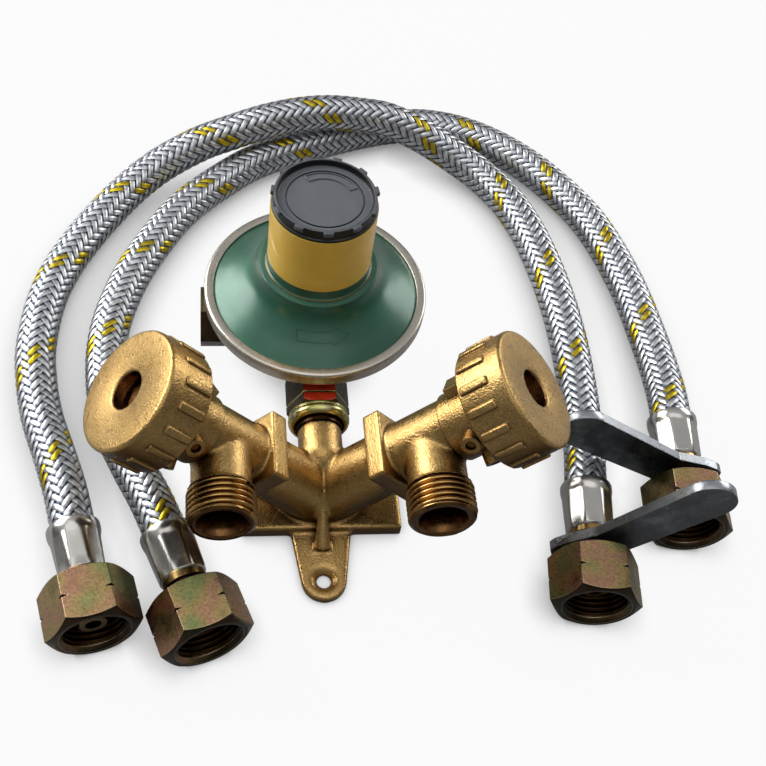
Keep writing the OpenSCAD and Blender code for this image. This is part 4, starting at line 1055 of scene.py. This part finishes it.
def length_setting(name, description, low, high, default):
    return bpy.props.FloatProperty(name=name, description=description, subtype="DISTANCE",
                                   unit="LENGTH", min=low, max=high, default=default)


class RegulatorLooks(bpy.types.PropertyGroup):
    brass: colour_setting("Cast brass", "Colour of the sand cast brass", (0.50, 0.322, 0.116))
    turned: colour_setting("Turned brass", "Colour of threads and other turned brass",
                           (0.60, 0.36, 0.12))
    green: colour_setting("Cover paint", "Colour of the regulator cover", (0.013, 0.10, 0.055))
    label: colour_setting("Label band", "Colour of the bare label band", (0.92, 0.58, 0.075))
    braid: colour_setting("Braid wire", "Colour of the hose's wire braid", (0.82, 0.84, 0.86))
    tracer: colour_setting("Tracer", "Colour of the braid's tracer bands", (0.80, 0.60, 0.04))
    braid_pitch: length_setting("Braid pitch", "Length of one turn of a braid band", 0.01, 0.1,
                                0.04)
    band_width: length_setting("Band width", "Width of one band of braid wires", 0.0005, 0.003,
                               0.00178)
    key_light: bpy.props.FloatProperty(name="Key light", description="Power of the key lamp",
                                       subtype="POWER", unit="POWER", min=0, default=9.0)


class REG_OT_stage(bpy.types.Operator):
    """Camera, floor, lamps and world"""
    bl_idname = "regulator.stage"
    bl_label = "Stage"

    def execute(self, context):
        make_camera(context.scene)
        make_floor()
        make_lamps(context.scene)
        make_world(context.scene)
        context.scene.view_settings.view_transform = "Standard"
        return {"FINISHED"}


class REG_OT_hoses(bpy.types.Operator):
    """Both braided hoses"""
    bl_idname = "regulator.hoses"
    bl_label = "Braided hoses"

    def execute(self, context):
        for hose in HOSES:
            braid(*hose)
        return {"FINISHED"}


class REG_OT_cad_finishes(bpy.types.Operator):
    """A finish for every CAD node"""
    bl_idname = "regulator.cad_finishes"
    bl_label = "Finishes of the CAD nodes"

    def execute(self, context):
        finish_cad_nodes()
        return {"FINISHED"}


class REG_OT_casting(bpy.types.Operator):
    """Manifold casting and its threaded ports"""
    bl_idname = "regulator.casting"
    bl_label = "Manifold casting"

    def execute(self, context):
        make_casting()
        make_ports()
        return {"FINISHED"}


class REG_OT_handwheels(bpy.types.Operator):
    """The two cast handwheels"""
    bl_idname = "regulator.handwheels"
    bl_label = "Handwheels"

    def execute(self, context):
        make_handwheels()
        return {"FINISHED"}


class REG_OT_cover(bpy.types.Operator):
    """Cover with its flow arrow, crimp ring and neck line of the regulator"""
    bl_idname = "regulator.cover"
    bl_label = "Regulator cover"

    def execute(self, context):
        make_cover()
        return {"FINISHED"}


class REG_OT_union(bpy.types.Operator):
    """Union nut and the hexagon behind it"""
    bl_idname = "regulator.union"
    bl_label = "Union"

    def execute(self, context):
        make_union()
        return {"FINISHED"}


class REG_OT_cap(bpy.types.Operator):
    """Cap with its lugs and sector mark"""
    bl_idname = "regulator.cap"
    bl_label = "Cap"

    def execute(self, context):
        make_cap()
        return {"FINISHED"}


class REG_OT_hose_ends(bpy.types.Operator):
    """Crimped ferrules and the threads in the nuts"""
    bl_idname = "regulator.hose_ends"
    bl_label = "Hose ends"

    def execute(self, context):
        make_hose_ends()
        return {"FINISHED"}


STEPS = ("stage", "hoses", "cad_finishes", "casting", "handwheels", "cover", "union", "cap",
         "hose_ends")


class REG_PT_panel(bpy.types.Panel):
    """Lists the settings, and the steps that build the set"""
    bl_label = "Regulator set"
    bl_idname = "REG_PT_panel"
    bl_space_type = "VIEW_3D"
    bl_region_type = "UI"
    bl_category = "Regulator"

    def draw(self, context):
        looks = context.scene.regulator_looks
        for name in RegulatorLooks.__annotations__:
            self.layout.prop(looks, name)
        for step in STEPS:
            self.layout.operator("regulator." + step)


CLASSES = (RegulatorLooks, REG_OT_stage, REG_OT_hoses, REG_OT_cad_finishes, REG_OT_casting,
           REG_OT_handwheels, REG_OT_cover, REG_OT_union, REG_OT_cap, REG_OT_hose_ends,
           REG_PT_panel)


def register():
    for cls in CLASSES:
        bpy.utils.register_class(cls)
    bpy.types.Scene.regulator_looks = bpy.props.PointerProperty(type=RegulatorLooks)


def unregister():
    del bpy.types.Scene.regulator_looks
    for cls in reversed(CLASSES):
        bpy.utils.unregister_class(cls)


def main():
    register()
    for step in STEPS:
        getattr(bpy.ops.regulator, step)()


if __name__ == "__main__":
    main()
